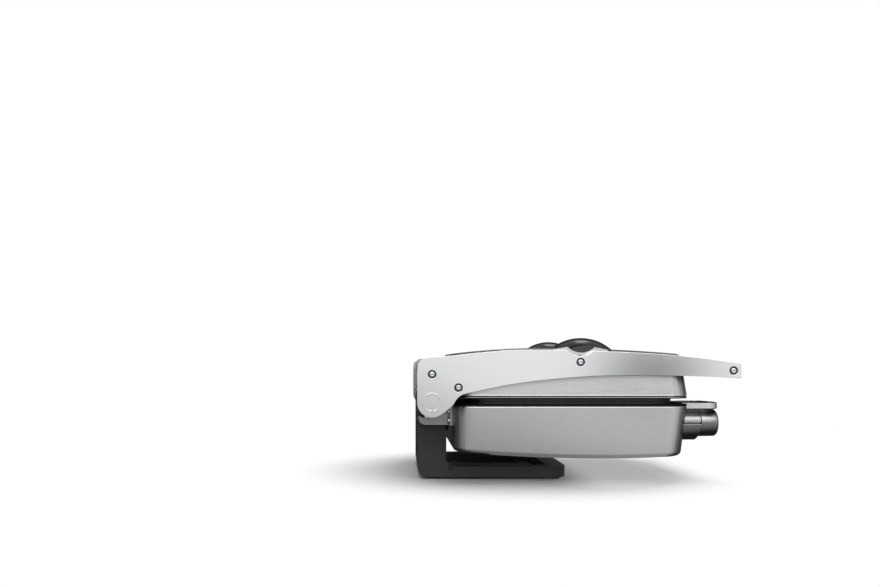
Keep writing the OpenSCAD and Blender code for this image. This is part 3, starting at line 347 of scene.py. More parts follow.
# Lower casing
# Deep drawn stainless steel, 1.5 mm thick, brushed along its sides. Its face is crowned and its
# walls lean in. A black phenolic frame closes the rim round the baking plate.
casing_low, casing_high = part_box("lower_casing")
casing_back = (casing_low.x - axis_x) * 1000
casing_front = (casing_high.x - axis_x) * 1000
casing_half = casing_high.y * 1000
casing_length = casing_front - casing_back
casing_corner = 22.0
casing_wall = 1.5
front_lean = 6.0
side_lean = 1.5
crown_round = 5.0
corner_steps, round_steps, crown_cuts = 14, 7, 40
lip_bend, lip_height, lip_share = 1.4, 0.9, 0.8
rim_round = 0.45
touch = 0.05
cut_gap = 0.02


def crown_height(crown, x):
    """How high a casing's crowned face stands at a place along the maker."""
    if x < crown["peak"]:
        share = (crown["peak"] - x) / (crown["peak"] - casing_back)
        return crown["top"] - crown["back_fall"] * share ** 2
    share = (x - crown["peak"]) / (casing_front - crown["peak"])
    return crown["top"] - crown["front_fall"] * share ** 2


def pick(piece, faces=None, edges=None):
    """In edit mode, selects the faces or the edges that a test says yes to."""
    mesh = bmesh.from_edit_mesh(piece.data)
    bpy.ops.mesh.select_all(action="DESELECT")
    bpy.ops.mesh.select_mode(type="FACE" if faces else "EDGE")
    test = faces or edges
    for item in mesh.faces if faces else mesh.edges:
        item.select_set(bool(test(item)))
    mesh.select_flush_mode()
    bmesh.update_edit_mesh(piece.data)


def from_axis(point):
    """A mesh point of a piece as millimetres from the hinge axis."""
    return Vector(((point.x - axis_x) * 1000, point.y * 1000, (point.z - axis_z) * 1000))


def lies_on(item, axis, level):
    """Whether all corners of an edge or a face lie at a level along one axis."""
    return all(abs(getattr(from_axis(v.co), axis) - level) < touch for v in item.verts)


def upright(edge):
    """Whether an edge's ends stand one over the other."""
    first, last = (from_axis(v.co) for v in edge.verts)
    return (first.xy - last.xy).length < touch


def start_block(name, low, high):
    """A cube between two corners, left open in edit mode, with its object at the origin."""
    bpy.ops.object.select_all(action="DESELECT")
    bpy.ops.mesh.primitive_cube_add(size=1, enter_editmode=True, location=(0, 0, 0))
    piece = bpy.context.object
    piece.name = name
    low, high = place(*low), place(*high)
    bpy.ops.transform.resize(value=high - low)
    bpy.ops.transform.translate(value=(low + high) / 2)
    return piece


def cut(co, no, clear_outer=False, clear_inner=False, fill=False):
    """Cuts the open mesh along a plane through a point given from the hinge axis."""
    bpy.ops.mesh.select_all(action="SELECT")
    bpy.ops.mesh.bisect(plane_co=place(*co), plane_no=no, use_fill=fill,
                        clear_outer=clear_outer, clear_inner=clear_inner,
                        threshold=cut_gap / 1000)


def casing_solid(name, crown, edge, upside_down, grow=0.0):
    """The closed outer form of a casing: leaning walls, round corners and a crowned face."""
    top = crown["top"] + grow
    piece = start_block(name, (casing_back - grow, -casing_half - grow, edge),
                        (casing_front + grow, casing_half + grow, top))
    pick(piece, edges=upright)
    bpy.ops.mesh.bevel(offset=(casing_corner + grow) / 1000, segments=corner_steps,
                       affect="EDGES")
    pick(piece, edges=lambda e: lies_on(e, "z", top))
    bpy.ops.mesh.bevel(offset=crown_round / 1000, segments=round_steps, affect="EDGES")
    for i in range(1, crown_cuts):
        cut((casing_back + casing_length * i / crown_cuts, 0, 0), (1, 0, 0))
    mesh = bmesh.from_edit_mesh(piece.data)
    for vert in mesh.verts:
        x, y, z = from_axis(vert.co)
        if z > edge + touch:
            x = casing_back + (x - casing_back) * (1 - front_lean / casing_length)
            y *= 1 - side_lean / casing_half
            vert.co = place(x, y, z + crown_height(crown, x) - crown["top"])
    bmesh.update_edit_mesh(piece.data)
    if upside_down:
        bpy.ops.mesh.select_all(action="SELECT")
        bpy.ops.transform.mirror(constraint_axis=(False, False, True),
                                 center_override=place(0, 0, 0))
    bpy.ops.mesh.select_all(action="SELECT")
    bpy.ops.mesh.remove_doubles(threshold=weld_gap / 1000)
    bpy.ops.mesh.normals_make_consistent(inside=False)
    bpy.ops.object.mode_set(mode="OBJECT")
    return piece


def casing_shell(name, crown, edge, upside_down, lip_out):
    """A casing as drawn sheet, open at its rim. The last millimetre of the wall turns out by
    lip_out, or in, and the rim is rounded, so that both catch the light as a fine line."""
    piece = casing_solid(name, crown, edge, upside_down)
    active(piece)
    bpy.ops.object.mode_set(mode="EDIT")
    way = -1 if upside_down else 1
    for height in (lip_bend, lip_height):
        cut((0, 0, way * (edge + height)), (0, 0, 1))
    mesh = bmesh.from_edit_mesh(piece.data)
    for vert in mesh.verts:
        x, y, z = from_axis(vert.co)
        if abs(z) < edge + lip_height + touch:
            out = lip_out if abs(z) < edge + touch else lip_out * lip_share
            x_in = min(max(x, casing_back + casing_corner), casing_front - casing_corner)
            y_in = min(max(y, casing_corner - casing_half), casing_half - casing_corner)
            away = Vector((x - x_in, y - y_in)).normalized() * out
            vert.co = place(x + away.x, y + away.y, z)
    bmesh.update_edit_mesh(piece.data)
    pick(piece, faces=lambda f: lies_on(f, "z", way * edge))
    bpy.ops.mesh.delete(type="FACE")
    bpy.ops.object.mode_set(mode="OBJECT")
    sheet = piece.modifiers.new("sheet", "SOLIDIFY")
    sheet.thickness = casing_wall / 1000
    sheet.offset = -1
    bpy.ops.object.modifier_apply(modifier=sheet.name)
    return apply_bevel(piece, rim_round, angle=60, smooth=30)


def brushed_steel(name, dark, light, roughness, depth):
    """Brushed stainless steel: long fine scratches that run level round the walls and along
    the crowned face. Real ones are 0.1 mm apart; these are drawn 0.6 mm apart to show."""
    material, tree = start_material(name)
    scratch_long, scratch_gap, cloud_size = 45.0, 0.6, 60.0
    where = add(tree, "TexCoord").outputs["Object"]
    normal = add(tree, "SeparateXYZ", inputs={
        "Vector": add(tree, "NewGeometry").outputs["Normal"]})
    facing = add(tree, "Math", {"operation": "ABSOLUTE"}, {0: normal.outputs["X"]})
    end_wall = add(tree, "MapRange", inputs={
        "Value": facing.outputs[0], "From Min": 0.6, "From Max": 0.8}).outputs[0]
    grains = []
    for size in ((scratch_long, scratch_gap, scratch_gap),
                 (scratch_gap, scratch_long, scratch_gap)):
        scaled = add(tree, "Mapping", inputs={
            "Vector": where, "Scale": [1000 / s for s in size]})
        grains.append(add(tree, "TexNoise", inputs={
            "Vector": scaled.outputs[0], "Scale": 1, "Detail": 4, "Roughness": 0.65}))
    scratch = add(tree, "Mix", {"data_type": "FLOAT"}, {
        0: end_wall, 2: grains[0].outputs["Fac"], 3: grains[1].outputs["Fac"]}).outputs[0]
    cloud = add(tree, "TexNoise", inputs={
        "Vector": where, "Scale": 1000 / cloud_size, "Detail": 2}).outputs["Fac"]
    tone = add(tree, "Math", {"operation": "MULTIPLY_ADD"}, {0: cloud, 1: 0.35, 2: scratch})
    mixed = add(tree, "MapRange", inputs={
        "Value": tone.outputs[0], "From Min": 0.45, "From Max": 0.95}).outputs[0]
    base = add(tree, "Mix", {"data_type": "RGBA"}, {0: mixed, 6: shade(dark), 7: shade(light)})
    rough = add(tree, "MapRange", inputs={
        "Value": mixed, "To Min": roughness - 0.05, "To Max": roughness + 0.05})
    bump = add(tree, "Bump", inputs={
        "Height": scratch, "Distance": depth / 1000, "Strength": 1})
    shader = add(tree, "BsdfPrincipled", inputs={
        "Base Color": base.outputs[2], "Metallic": 1.0, "Roughness": rough.outputs[0],
        "Normal": bump.outputs[0]})
    add(tree, "OutputMaterial", inputs={"Surface": shader.outputs[0]})
    return material


# Brushed stainless steel gives the casings a soft silver face, whose level scratches blur what
# it mirrors up and down.
drawn_stainless = brushed_steel("brushed_stainless", "#B4B4B4", "#B8B8B8", roughness=0.27,
                                depth=0.001)
lower_edge = 4.9
lower_crown = {"top": 60.9, "peak": casing_back + casing_length * 0.635,
               "back_fall": 7.1, "front_fall": 3.5}
lower_shell = casing_shell("lower_shell", lower_crown, lower_edge, upside_down=True,
                           lip_out=-0.25)
finish(lower_shell, "lower_half", "brushed", drawn_stainless, "lower_casing")

# Matt phenolic: black with next to no sheen, and a darker black than the other phenolic as
# painted shade, so that the gap between the halves stays dark.
matt_shaded_phenolic = surface("matt_phenolic_painted_shade", "#0C0C0C", metallic=0.0, roughness=0.45,
                        grain=(0.7, 0.7, 0.7), depth=0.012, vary=0.06, speck="#111111",
                        gloss=0.1)
finish(rounded_copy("lower_trim_frame", "lower_frame", width=0.5), "lower_half", "black_plastic",
       matt_shaded_phenolic, "lower_trim_frame")

# Lower baking plate
# Cast aluminium with a black non-stick coating that carries a fine sparkle: heart wells in a
# rosette, points inwards, with crossed waffle ribs. Its heater and reflector are under it.

# Non-stick coating: black with a low shine and a fine metal sparkle.
non_stick = surface("non_stick_coating", "#1A1A1B", metallic=0.25, roughness=0.34,
                    grain=(0.8, 0.8, 0.8), depth=0.012, vary=0.09, speck="#2A2A2C")
# Bright aluminium sheet: close to a mirror, with faint rolling lines.
bright_sheet = surface("bright_aluminium_sheet", "#C8C8C8", metallic=1.0, roughness=0.2,
                       grain=(25, 0.6, 25), depth=0.004, vary=0.05, speck="#BDBDBD")
# Glazed ceramic: off-white with a smooth glassy shine.
ceramic = surface("glazed_ceramic", "#E2E0DA", metallic=0.0, roughness=0.3,
                  grain=(0.8, 0.8, 0.8), depth=0.01, vary=0.05, speck="#D8D5CE")
finish(rounded_copy("lower_baking_plate", "lower_plate", width=0.4, segments=2, join_flats=False),
       "lower_half", "plate_coat", non_stick, "lower_baking_plate")
finish_nodes(dull_zinc, "lower_heater", "lower_plate_posts")
finish_nodes(bright_sheet, "lower_reflector")
finish_nodes(ceramic, "lower_thermal_fuse", "terminal_block")

# Underside cover
# A shallow stainless cover on the lower casing, with sloped edges, and the casing's four
# screws with round polished heads.
finish(rounded_copy("underside_cover", "service_cover", width=0.5), "lower_half", "steel",
       ground_steel, "underside_cover")
finish(rounded_copy("lower_casing_screws", "casing_bolts", width=0.5), "lower_half", "head_screw",
       polished_screw, "lower_casing_screws")

# Cord gland
# A plain gland of moulded phenolic in the lower casing's rear wall, with its flange outside
# and a zinc plated nut inside.

# Moulded phenolic: black with a satin sheen that picks out its rounded edges.
phenolic = surface("moulded_phenolic", "#161616", metallic=0.0, roughness=0.36,
                   grain=(0.7, 0.7, 0.7), depth=0.012, vary=0.06, speck="#1D1D1D")
finish(rounded_copy("cord_gland", "gland_body", width=0.5), "lower_half", "black_plastic",
       phenolic, "cord_gland")
finish_nodes(dull_zinc, "gland_nut")

# Thermostat
# A turned knob on a two-part collar, both lacquered gunmetal: a half round the size of the
# knob above, and a larger one below whose front slopes back. Two amber lamps sit beside it.

# Gunmetal lacquer: smooth dark grey metal, which turns the light into one soft band along
# the knob.
gunmetal = surface("gunmetal_lacquer", "#737374", metallic=1.0, roughness=0.28,
                   grain=(0.6, 0.6, 0.6), depth=0.003, vary=0.03, speck="#6E6E6F")
knob_y, knob_z = -97.0, -23.9
knob_radius, knob_taper = 15.0, 0.974
knob_start = casing_front + 15.2
knob_end = casing_front + 34.5
knob_round, knob_back_round = 2.8, 0.6
face_ring, face_step, face_sink = 1.2, 0.6, 0.3
collar_radius, collar_round = 18.7, 0.6
collar_start = casing_front - 6.3
collar_end = casing_front + 14.9
collar_split = 0.35
slope_back, slope_low, slope_radians = 0.4, 3.0, 0.22
core_wall, core_back = 2.0, 0.6
turned_steps = 96


def start_rod(name, radius, start, end):
    """A rod along X on the knob's axis, left open in edit mode, its object at the origin."""
    bpy.ops.object.select_all(action="DESELECT")
    bpy.ops.mesh.primitive_cylinder_add(
        vertices=turned_steps, radius=radius / 1000, depth=(end - start) / 1000,
        enter_editmode=True, location=(0, 0, 0))
    piece = bpy.context.object
    piece.name = name
    bpy.ops.transform.rotate(value=math.pi / 2, orient_axis="Y", center_override=(0, 0, 0))
    bpy.ops.transform.translate(value=place((start + end) / 2, knob_y, knob_z))
    return piece


def join(main, *others):
    """Joins finished meshes into one object."""
    active(main)
    for other in others:
        other.select_set(True)
    bpy.ops.object.join()
    return main


upper_part = start_rod("knob_collar", knob_radius, collar_start, collar_end)
cut((0, 0, knob_z + collar_split), (0, 0, 1), clear_inner=True, fill=True)
bpy.ops.object.mode_set(mode="OBJECT")
apply_bevel(upper_part, collar_round, angle=50)
lower_part = start_rod("collar_lower", collar_radius, collar_start, collar_end)
cut((0, 0, knob_z - collar_split), (0, 0, 1), clear_outer=True, fill=True)
cut((collar_end - slope_back, 0, knob_z - slope_low),
    (math.cos(slope_radians), 0, -math.sin(slope_radians)), clear_outer=True, fill=True)
bpy.ops.object.mode_set(mode="OBJECT")
apply_bevel(lower_part, collar_round, angle=50)
core = start_rod("collar_core", knob_radius - core_wall, collar_start, collar_end - core_back)
bpy.ops.object.mode_set(mode="OBJECT")
collar = join(upper_part, lower_part, core)
finish(collar, "lower_half", "black_plastic", gunmetal, "thermostat_collar")

knob = start_rod("control_knob", knob_radius, knob_start, knob_end)
pick(knob, faces=lambda f: lies_on(f, "x", knob_end))
bpy.ops.transform.resize(value=(1, knob_taper, knob_taper),
                         center_override=place(0, knob_y, knob_z))
pick(knob, edges=lambda e: lies_on(e, "x", knob_end))
bpy.ops.mesh.bevel(offset=knob_round / 1000, segments=7, affect="EDGES")
pick(knob, edges=lambda e: lies_on(e, "x", knob_start))
bpy.ops.mesh.bevel(offset=knob_back_round / 1000, segments=3, affect="EDGES")
pick(knob, faces=lambda f: lies_on(f, "x", knob_end))
bpy.ops.mesh.inset(thickness=face_ring / 1000)
bpy.ops.mesh.inset(thickness=face_step / 1000, depth=-face_sink / 1000)
bpy.ops.object.mode_set(mode="OBJECT")
bpy.ops.object.shade_smooth_by_angle(angle=math.radians(35))
finish(knob, "knob", "black_plastic", gunmetal, "thermostat_knob")

# White pad print: flat white ink with no shine.
white_line = surface("white_pad_print", "#E8E8E6", metallic=0.0, roughness=0.45,
                     grain=(0.4, 0.4, 0.4), depth=0.004, vary=0.04, speck="#DEDEDC")
# Amber lens: smooth clear-coated plastic with a small sharp highlight.
amber = surface("amber_lens", "#C8641E", metallic=0.0, roughness=0.12, grain=(0.5, 0.5, 0.5),
                depth=0.003, vary=0.03, coat=0.6, speck="#B9561A")
finish_nodes(white_line, "knob_pointer")
finish_nodes(amber, "signal_lamps")
finish_nodes(dull_zinc, "thermostat")
finish_nodes(ground_steel, "thermostat_spindle")

# Front grip
# A flat grip of black phenolic under the handle, screwed to the casing from inside, with a
# band of brushed aluminium let in round its sides and front.
finish(rounded_copy("front_grip", "grip_core", width=0.8), "lower_half", "black_plastic", phenolic,
       "front_grip")
# Brushed aluminium: pale metal with level lines, a little duller than the arms.
brushed_band = surface("brushed_aluminium_band", "#D2D3D4", metallic=1.0, roughness=0.22,
                       grain=(22, 0.5, 0.4), depth=0.003, vary=0.06, speck="#BEBFC0")
finish(rounded_copy("front_grip_band", "grip_band", width=0.35), "lower_half", "arm_alu",
       brushed_band, "front_grip_band")
finish_nodes(dull_zinc, "grip_screws")

# Lid casing
# The same drawn and brushed steel as the lower half, a little shallower at the front. A black
# phenolic frame closes its rim as well.
lid_edge = 6.6
lid_crown = {"top": 57.75, "peak": casing_back + casing_length * 0.375,
             "back_fall": 5.95, "front_fall": 7.5}
lid_shell = casing_shell("lid_shell", lid_crown, lid_edge, upside_down=False, lip_out=0.12)
finish(lid_shell, "lid", "brushed", drawn_stainless, "lid_casing")
finish(rounded_copy("lid_trim_frame", "lid_frame", width=0.8), "lid", "black_plastic", phenolic,
       "lid_trim_frame")

# Steel strip
# A flat strip of dull stainless steel, sprung round the lid's black frame just under its edge.
# It stands a little proud of the frame, as a thin line round the lid, and stands in for the
# highlight along the frame's rounded nose: a painted highlight.
strip_low, strip_high = 4.5, 5.5
strip_out, strip_wall = 0.15, 0.8
# Dull stainless strip: a thin grey line, darker than the casings on both sides of it, drawn in
# place of the frame's highlight as a painted highlight.
highlight_strip_steel = surface("strip_painted_highlight", "#98989A", metallic=1.0, roughness=0.3,
                     grain=(30, 30, 0.4), depth=0.002, vary=0.05, speck="#8E8E90")
strip = start_block("lid_highlight_strip", (casing_back - strip_out, -casing_half - strip_out, strip_low),
                    (casing_front + strip_out, casing_half + strip_out, strip_high))
pick(strip, edges=upright)
bpy.ops.mesh.bevel(offset=(casing_corner + strip_out) / 1000, segments=corner_steps,
                   affect="EDGES")
pick(strip, faces=lambda f: lies_on(f, "z", strip_low) or lies_on(f, "z", strip_high))
bpy.ops.mesh.delete(type="ONLY_FACE")
bpy.ops.object.mode_set(mode="OBJECT")
band_wall = strip.modifiers.new("wall", "SOLIDIFY")
band_wall.thickness = strip_wall / 1000
band_wall.offset = -1
bpy.ops.object.modifier_apply(modifier=band_wall.name)
finish(apply_bevel(strip, width=0.12, angle=60, smooth=30), "lid", "steel", highlight_strip_steel)

# Lid baking plate
# The same coated casting as the lower one, the other way up, so that its hearts face the
# lower plate's. It has its own heater, reflector and thermal fuse, above it in the lid.
finish_nodes(dull_zinc, "lid_heater", "lid_plate_posts")
finish_nodes(bright_sheet, "lid_reflector")
finish_nodes(ceramic, "lid_thermal_fuse")
finish(rounded_copy("lid_baking_plate", "lid_plate", width=0.4, segments=2, join_flats=False),
       "lid", "plate_coat", non_stick, "lid_baking_plate")

# Arms
# Two 6 mm aluminium arms, cut to a long curve and satin anodised, with a scallop in the top
# edge beside each foot. Button-head screws sit in shallow counterbores.
arm_tip = (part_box("arm_left")[1].x - axis_x) * 1000
arm_in = 136.5
tip_depth, tip_round, tip_steps = 0.5, 1.4, 4
head_radius = 2.8
head_out = arm_out + 0.4
head_in = arm_out - 0.9
head_round = 0.7
socket_rim, socket_depth, socket_taper = 0.9, 1.0, 0.7


def at_tip(edge):
    """An edge across the arm at one of its front corners."""
    first, last = (from_axis(v.co) for v in edge.verts)
    across = abs(first.y - last.y) > (arm_out - arm_in) / 2
    return across and min(first.x, last.x) > arm_tip - tip_depth


for side in ("left", "right"):
    arm = merged_copy(f"arm_{side}", f"side_arm_{side}")
    bpy.ops.object.mode_set(mode="EDIT")
    pick(arm, edges=at_tip)
    bpy.ops.mesh.bevel(offset=tip_round / 1000, segments=tip_steps, affect="EDGES")
    bpy.ops.object.mode_set(mode="OBJECT")
    apply_bevel(arm, width=0.7)
    finish(arm, "lid", "arm_alu", satin_aluminium, f"arm_{side}")
finish_nodes(sintered_bronze, "arm_bushes")


def screw_axes(node):
    """Where a node's screws stand along one arm, as X and Z, with the front one first."""
    points = [from_axis(v.co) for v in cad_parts[node].data.vertices if v.co.y < 0]
    points.sort(key=lambda p: -p.x)
    groups = [[points[0]]]
    for point in points[1:]:
        if groups[-1][-1].x - point.x > 2 * head_radius:
            groups.append([])
        groups[-1].append(point)
    axes = []
    for group in groups:
        levels = [p.z for p in group]
        axes.append(((group[0].x + group[-1].x) / 2, (min(levels) + max(levels)) / 2))
    return axes


screw_places = screw_axes("arm_screws")
bpy.ops.object.select_all(action="DESELECT")
bpy.ops.mesh.primitive_cylinder_add(vertices=48, radius=head_radius / 1000,
                                    depth=(head_out - head_in) / 1000, enter_editmode=True)
screw = bpy.context.object
screw.name = "arm_bolt"
head_face = (head_out - head_in) / 2000 - touch / 1000
pick(screw, edges=lambda e: all(v.co.z > head_face for v in e.verts))
bpy.ops.mesh.bevel(offset=head_round / 1000, segments=4, affect="EDGES")
pick(screw, faces=lambda f: all(v.co.z > head_face for v in f.verts))
bpy.ops.mesh.inset(thickness=socket_rim / 1000)
bpy.ops.mesh.extrude_region_move(
    TRANSFORM_OT_translate={"value": (0, 0, -socket_depth / 1000)})
bpy.ops.transform.resize(value=(socket_taper, socket_taper, 1))
bpy.ops.object.mode_set(mode="OBJECT")
bpy.ops.object.shade_smooth_by_angle(angle=math.radians(40))
screws = []
for side in (-1, 1):
    for x, z in screw_places:
        bolt = screw.copy()
        bolt.data = screw.data.copy()
        scene.collection.objects.link(bolt)
        bolt.rotation_euler = (math.radians(90 if side < 0 else -90), 0, 0)
        bolt.location = place(x, side * (head_out + head_in) / 2, z)
        active(bolt)
        bpy.ops.object.transform_apply(location=True, rotation=True, scale=True)
        screws.append(bolt)
bpy.data.objects.remove(screw)
arm_bolts = join(*screws)
arm_bolts.name = "arm_bolts"
finish(arm_bolts, "lid", "head_screw", polished_screw, "arm_screws")
# Black washers under the heads: a dark ring that stands in for the shade in the counterbores, as
# painted shade.
finish(rounded_copy("arm_washers", "washers_painted_shade", width=0.15), "lid", "black_plastic", phenolic,
       "arm_washers")

# Handle
# A bowed bar of black phenolic between the arms' tips, moulded with well rounded edges. A
# button-head screw through each arm holds it.
handle_width, handle_height, handle_round = 19.0, 12.0, 4.0
handle_bow = 22.0
handle_front = 323.275 + handle_bow
sweep_spare, sweep_steps = 0.03, 72
bow_radius = (arm_in ** 2 + handle_bow ** 2) / (2 * handle_bow)
handle_level = screw_places[0][1]
bow_centre = handle_front - bow_radius
bpy.ops.object.select_all(action="DESELECT")
bpy.ops.mesh.primitive_plane_add(size=1, enter_editmode=True, location=(0, 0, 0))
handle = bpy.context.object
handle.name = "handle_grip"
bpy.ops.transform.rotate(value=math.pi / 2, orient_axis="X", center_override=(0, 0, 0))
bpy.ops.transform.resize(value=(handle_width / 1000, 1, handle_height / 1000))
bpy.ops.transform.translate(
    value=place(handle_front - handle_width / 2, 0, handle_level))
bpy.ops.mesh.bevel(offset=handle_round / 1000, segments=8, affect="VERTICES")
bpy.ops.mesh.delete(type="ONLY_FACE")
bpy.ops.mesh.select_all(action="SELECT")
half_sweep = math.asin(arm_in / bow_radius) + sweep_spare
centre = place(bow_centre, 0, handle_level)
mesh = bmesh.from_edit_mesh(handle.data)
for vert in mesh.verts:
    reach = vert.co.x - centre.x
    vert.co.x = centre.x + reach * math.cos(half_sweep)
    vert.co.y = -reach * math.sin(half_sweep)
bmesh.update_edit_mesh(handle.data)
bpy.ops.mesh.spin(steps=sweep_steps, angle=-2 * half_sweep, center=centre, axis=(0, 0, 1))
if max(v.co.y for v in bmesh.from_edit_mesh(handle.data).verts) < 0:
    raise SystemExit("the handle was swept the wrong way")
for side in (-1, 1):
    cut((0, side * arm_in, 0), (0, side, 0), clear_outer=True, fill=True)
bpy.ops.mesh.select_all(action="SELECT")
bpy.ops.mesh.remove_doubles(threshold=weld_gap / 1000)
bpy.ops.mesh.normals_make_consistent(inside=False)
bpy.ops.object.mode_set(mode="OBJECT")
bpy.ops.object.shade_smooth_by_angle(angle=math.radians(40))
finish(handle, "lid", "black_plastic", phenolic, "handle_bar")

# Lid feet
# Domes of glossy black phenolic, turned from solid rod and polished. Each is seated on the
# lid's crown and screwed through its arm.

# Polished phenolic: deep black, with clear reflections as in glass.
gloss_black = surface("gloss_black_phenolic", "#0B0B0B", metallic=0.0, roughness=0.1,
                      grain=(14, 14, 14), depth=0.01, vary=0.02, coat=0.8)
dome_radius = 49.3
dome_x, dome_y, dome_z = 162.65, 107.0, 19.5
dome_skirt, dome_round = 44.52, 1.6
seat_gap = 0.2
boss_radius, boss_depth, boss_y, boss_round = 8.0, 8.7, 132.1, 0.4
foot_screw_x, foot_screw_z = screw_places[1]
saddle_wall = 0.9
saddle_out = arm_in - 0.05
for side, word in ((-1, "left"), (1, "right")):
    bpy.ops.object.select_all(action="DESELECT")
    bpy.ops.mesh.primitive_uv_sphere_add(segments=144, ring_count=96, enter_editmode=True,
                                         radius=dome_radius / 1000, location=(0, 0, 0))
    dome = bpy.context.object
    dome.name = f"dome_foot_{word}"
    bpy.ops.transform.translate(value=place(dome_x, side * dome_y, dome_z))
    cut((0, 0, dome_skirt), (0, 0, 1), clear_inner=True, fill=True)
    cut((0, side * (saddle_out - saddle_wall), 0), (0, side, 0), clear_outer=True, fill=True)
    bpy.ops.object.mode_set(mode="OBJECT")
    apply_bevel(dome, dome_round, angle=30, segments=5, smooth=35)
    former = casing_solid("dome_seat", lid_crown, lid_edge, False, grow=seat_gap)
    active(dome)
    seat = dome.modifiers.new("seat", "BOOLEAN")
    seat.operation = "DIFFERENCE"
    seat.object = former
    bpy.ops.object.modifier_apply(modifier=seat.name)
    bpy.data.objects.remove(former)
    bpy.ops.object.shade_smooth_by_angle(angle=math.radians(35))
    bpy.ops.object.select_all(action="DESELECT")
    bpy.ops.mesh.primitive_cylinder_add(vertices=64, radius=boss_radius / 1000,
                                        depth=boss_depth / 1000, enter_editmode=True,
                                        location=(0, 0, 0))
    boss = bpy.context.object
    bpy.ops.transform.rotate(value=math.pi / 2, orient_axis="X", center_override=(0, 0, 0))
    bpy.ops.transform.translate(value=place(foot_screw_x, side * boss_y, foot_screw_z))
    bpy.ops.object.mode_set(mode="OBJECT")
    apply_bevel(boss, boss_round)
    join(dome, boss)
    finish(dome, "lid", "gloss_black", gloss_black, f"lid_foot_{word}")

# Saddle plates
# Pressed steel between each foot and its arm. The plate's top edge stands a little over the
# arm and dips with the scallop, so that it shows as a pale line under the dome: a painted
# reflection, in place of the arm's reflection in the dome.

# Pressed steel: a plain pale sheen, here the painted reflection of the arm under the dome.
pale_steel_painted_reflection = surface("pale_steel_painted_reflection", "#C6C6C7", metallic=1.0, roughness=0.24,
                        grain=(0.7, 0.7, 0.7), depth=0.002, vary=0.05, speck="#BCBCBD")
saddle_back, saddle_front, saddle_low, saddle_top = 127.0, 186.0, 45.0, 58.6
saddle_slope, saddle_drop, saddle_round = 15.0, 3.0, 0.2
notch_x, notch_z, notch_radius, notch_depth = 157.8, 72.4, 19.8, 20.0
for side, word in ((-1, "left"), (1, "right")):
    low_y, high_y = sorted((side * saddle_out, side * (saddle_out - saddle_wall)))
    saddle = start_block(f"reflection_plate_{word}", (saddle_back, low_y, saddle_low),
                         (saddle_front, high_y, saddle_top))
    for end, way in ((saddle_back, -1), (saddle_front, 1)):
        up = Vector((way * saddle_drop, 0, saddle_slope)).normalized()
        cut((end, 0, saddle_top - saddle_drop), up, clear_outer=True, fill=True)
    bpy.ops.object.mode_set(mode="OBJECT")
    bpy.ops.object.select_all(action="DESELECT")
    bpy.ops.mesh.primitive_cylinder_add(vertices=128, radius=notch_radius / 1000,
                                        depth=notch_depth / 1000,
                                        rotation=(math.pi / 2, 0, 0),
                                        location=place(notch_x, side * saddle_out, notch_z))
    punch = bpy.context.object
    active(saddle)
    notch = saddle.modifiers.new("notch", "BOOLEAN")
    notch.operation = "DIFFERENCE"
    notch.object = punch
    bpy.ops.object.modifier_apply(modifier=notch.name)
    bpy.data.objects.remove(punch)
    finish(apply_bevel(saddle, saddle_round, angle=50), "lid", "steel", pale_steel_painted_reflection)

# Lid brackets
# Pressed steel brackets, zinc plated, tie the arms to the lid's rear wall. Each is held by
# button-head screws.
for side in ("left", "right"):
    bracket = rounded_copy(f"lid_bracket_{side}", f"bracket_{side}", width=0.6)
    finish(bracket, "lid", "zinc", dull_zinc, f"lid_bracket_{side}")
finish(rounded_copy("bracket_screws", "bracket_bolts", width=0.4), "lid", "head_screw",
       polished_screw, "bracket_screws")

# Light
# A tent of white cloth, darker at both back corners and in a ring above, with a softbox
# overhead, one over the lens and a wide one in front. A grey card right of the lens shades the
# front of the arms. The tent's turns are in degrees round from the lens.
def band(tree, value, low, high, soft, within=1.0):
    """1 where a value lies between low and high, with soft edges, and inside another mask."""
    rise = add(tree, "MapRange", smooth_step, {
        "Value": value, "From Min": low - soft, "From Max": low + soft})
    fall = add(tree, "MapRange", smooth_step, {
        "Value": value, "From Min": high - soft, "From Max": high + soft,
        "To Min": 1.0, "To Max": 0.0})
    both = add(tree, "Math", {"operation": "MULTIPLY"}, {0: rise.outputs[0], 1: fall.outputs[0]})
    mask = add(tree, "Math", {"operation": "MULTIPLY"}, {0: both.outputs[0], 1: within})
    return mask.outputs[0]


world = bpy.data.worlds.new("tent")
scene.world = world
world.use_nodes = True
tree = world.node_tree
tree.nodes.clear()
towards = add(tree, "SeparateXYZ", inputs={
    "Vector": add(tree, "TexCoord").outputs["Generated"]})
height = towards.outputs["Z"]
front = add(tree, "Math", {"operation": "MULTIPLY"}, {0: towards.outputs["Y"], 1: -1.0})
turn = add(tree, "Math", {"operation": "ARCTAN2"}, {
    0: towards.outputs["X"], 1: front.outputs[0]})
turn = add(tree, "Math", {"operation": "DEGREES"}, {0: turn.outputs[0]}).outputs[0]
side_turn = add(tree, "Math", {"operation": "ABSOLUTE"}, {0: turn}).outputs[0]

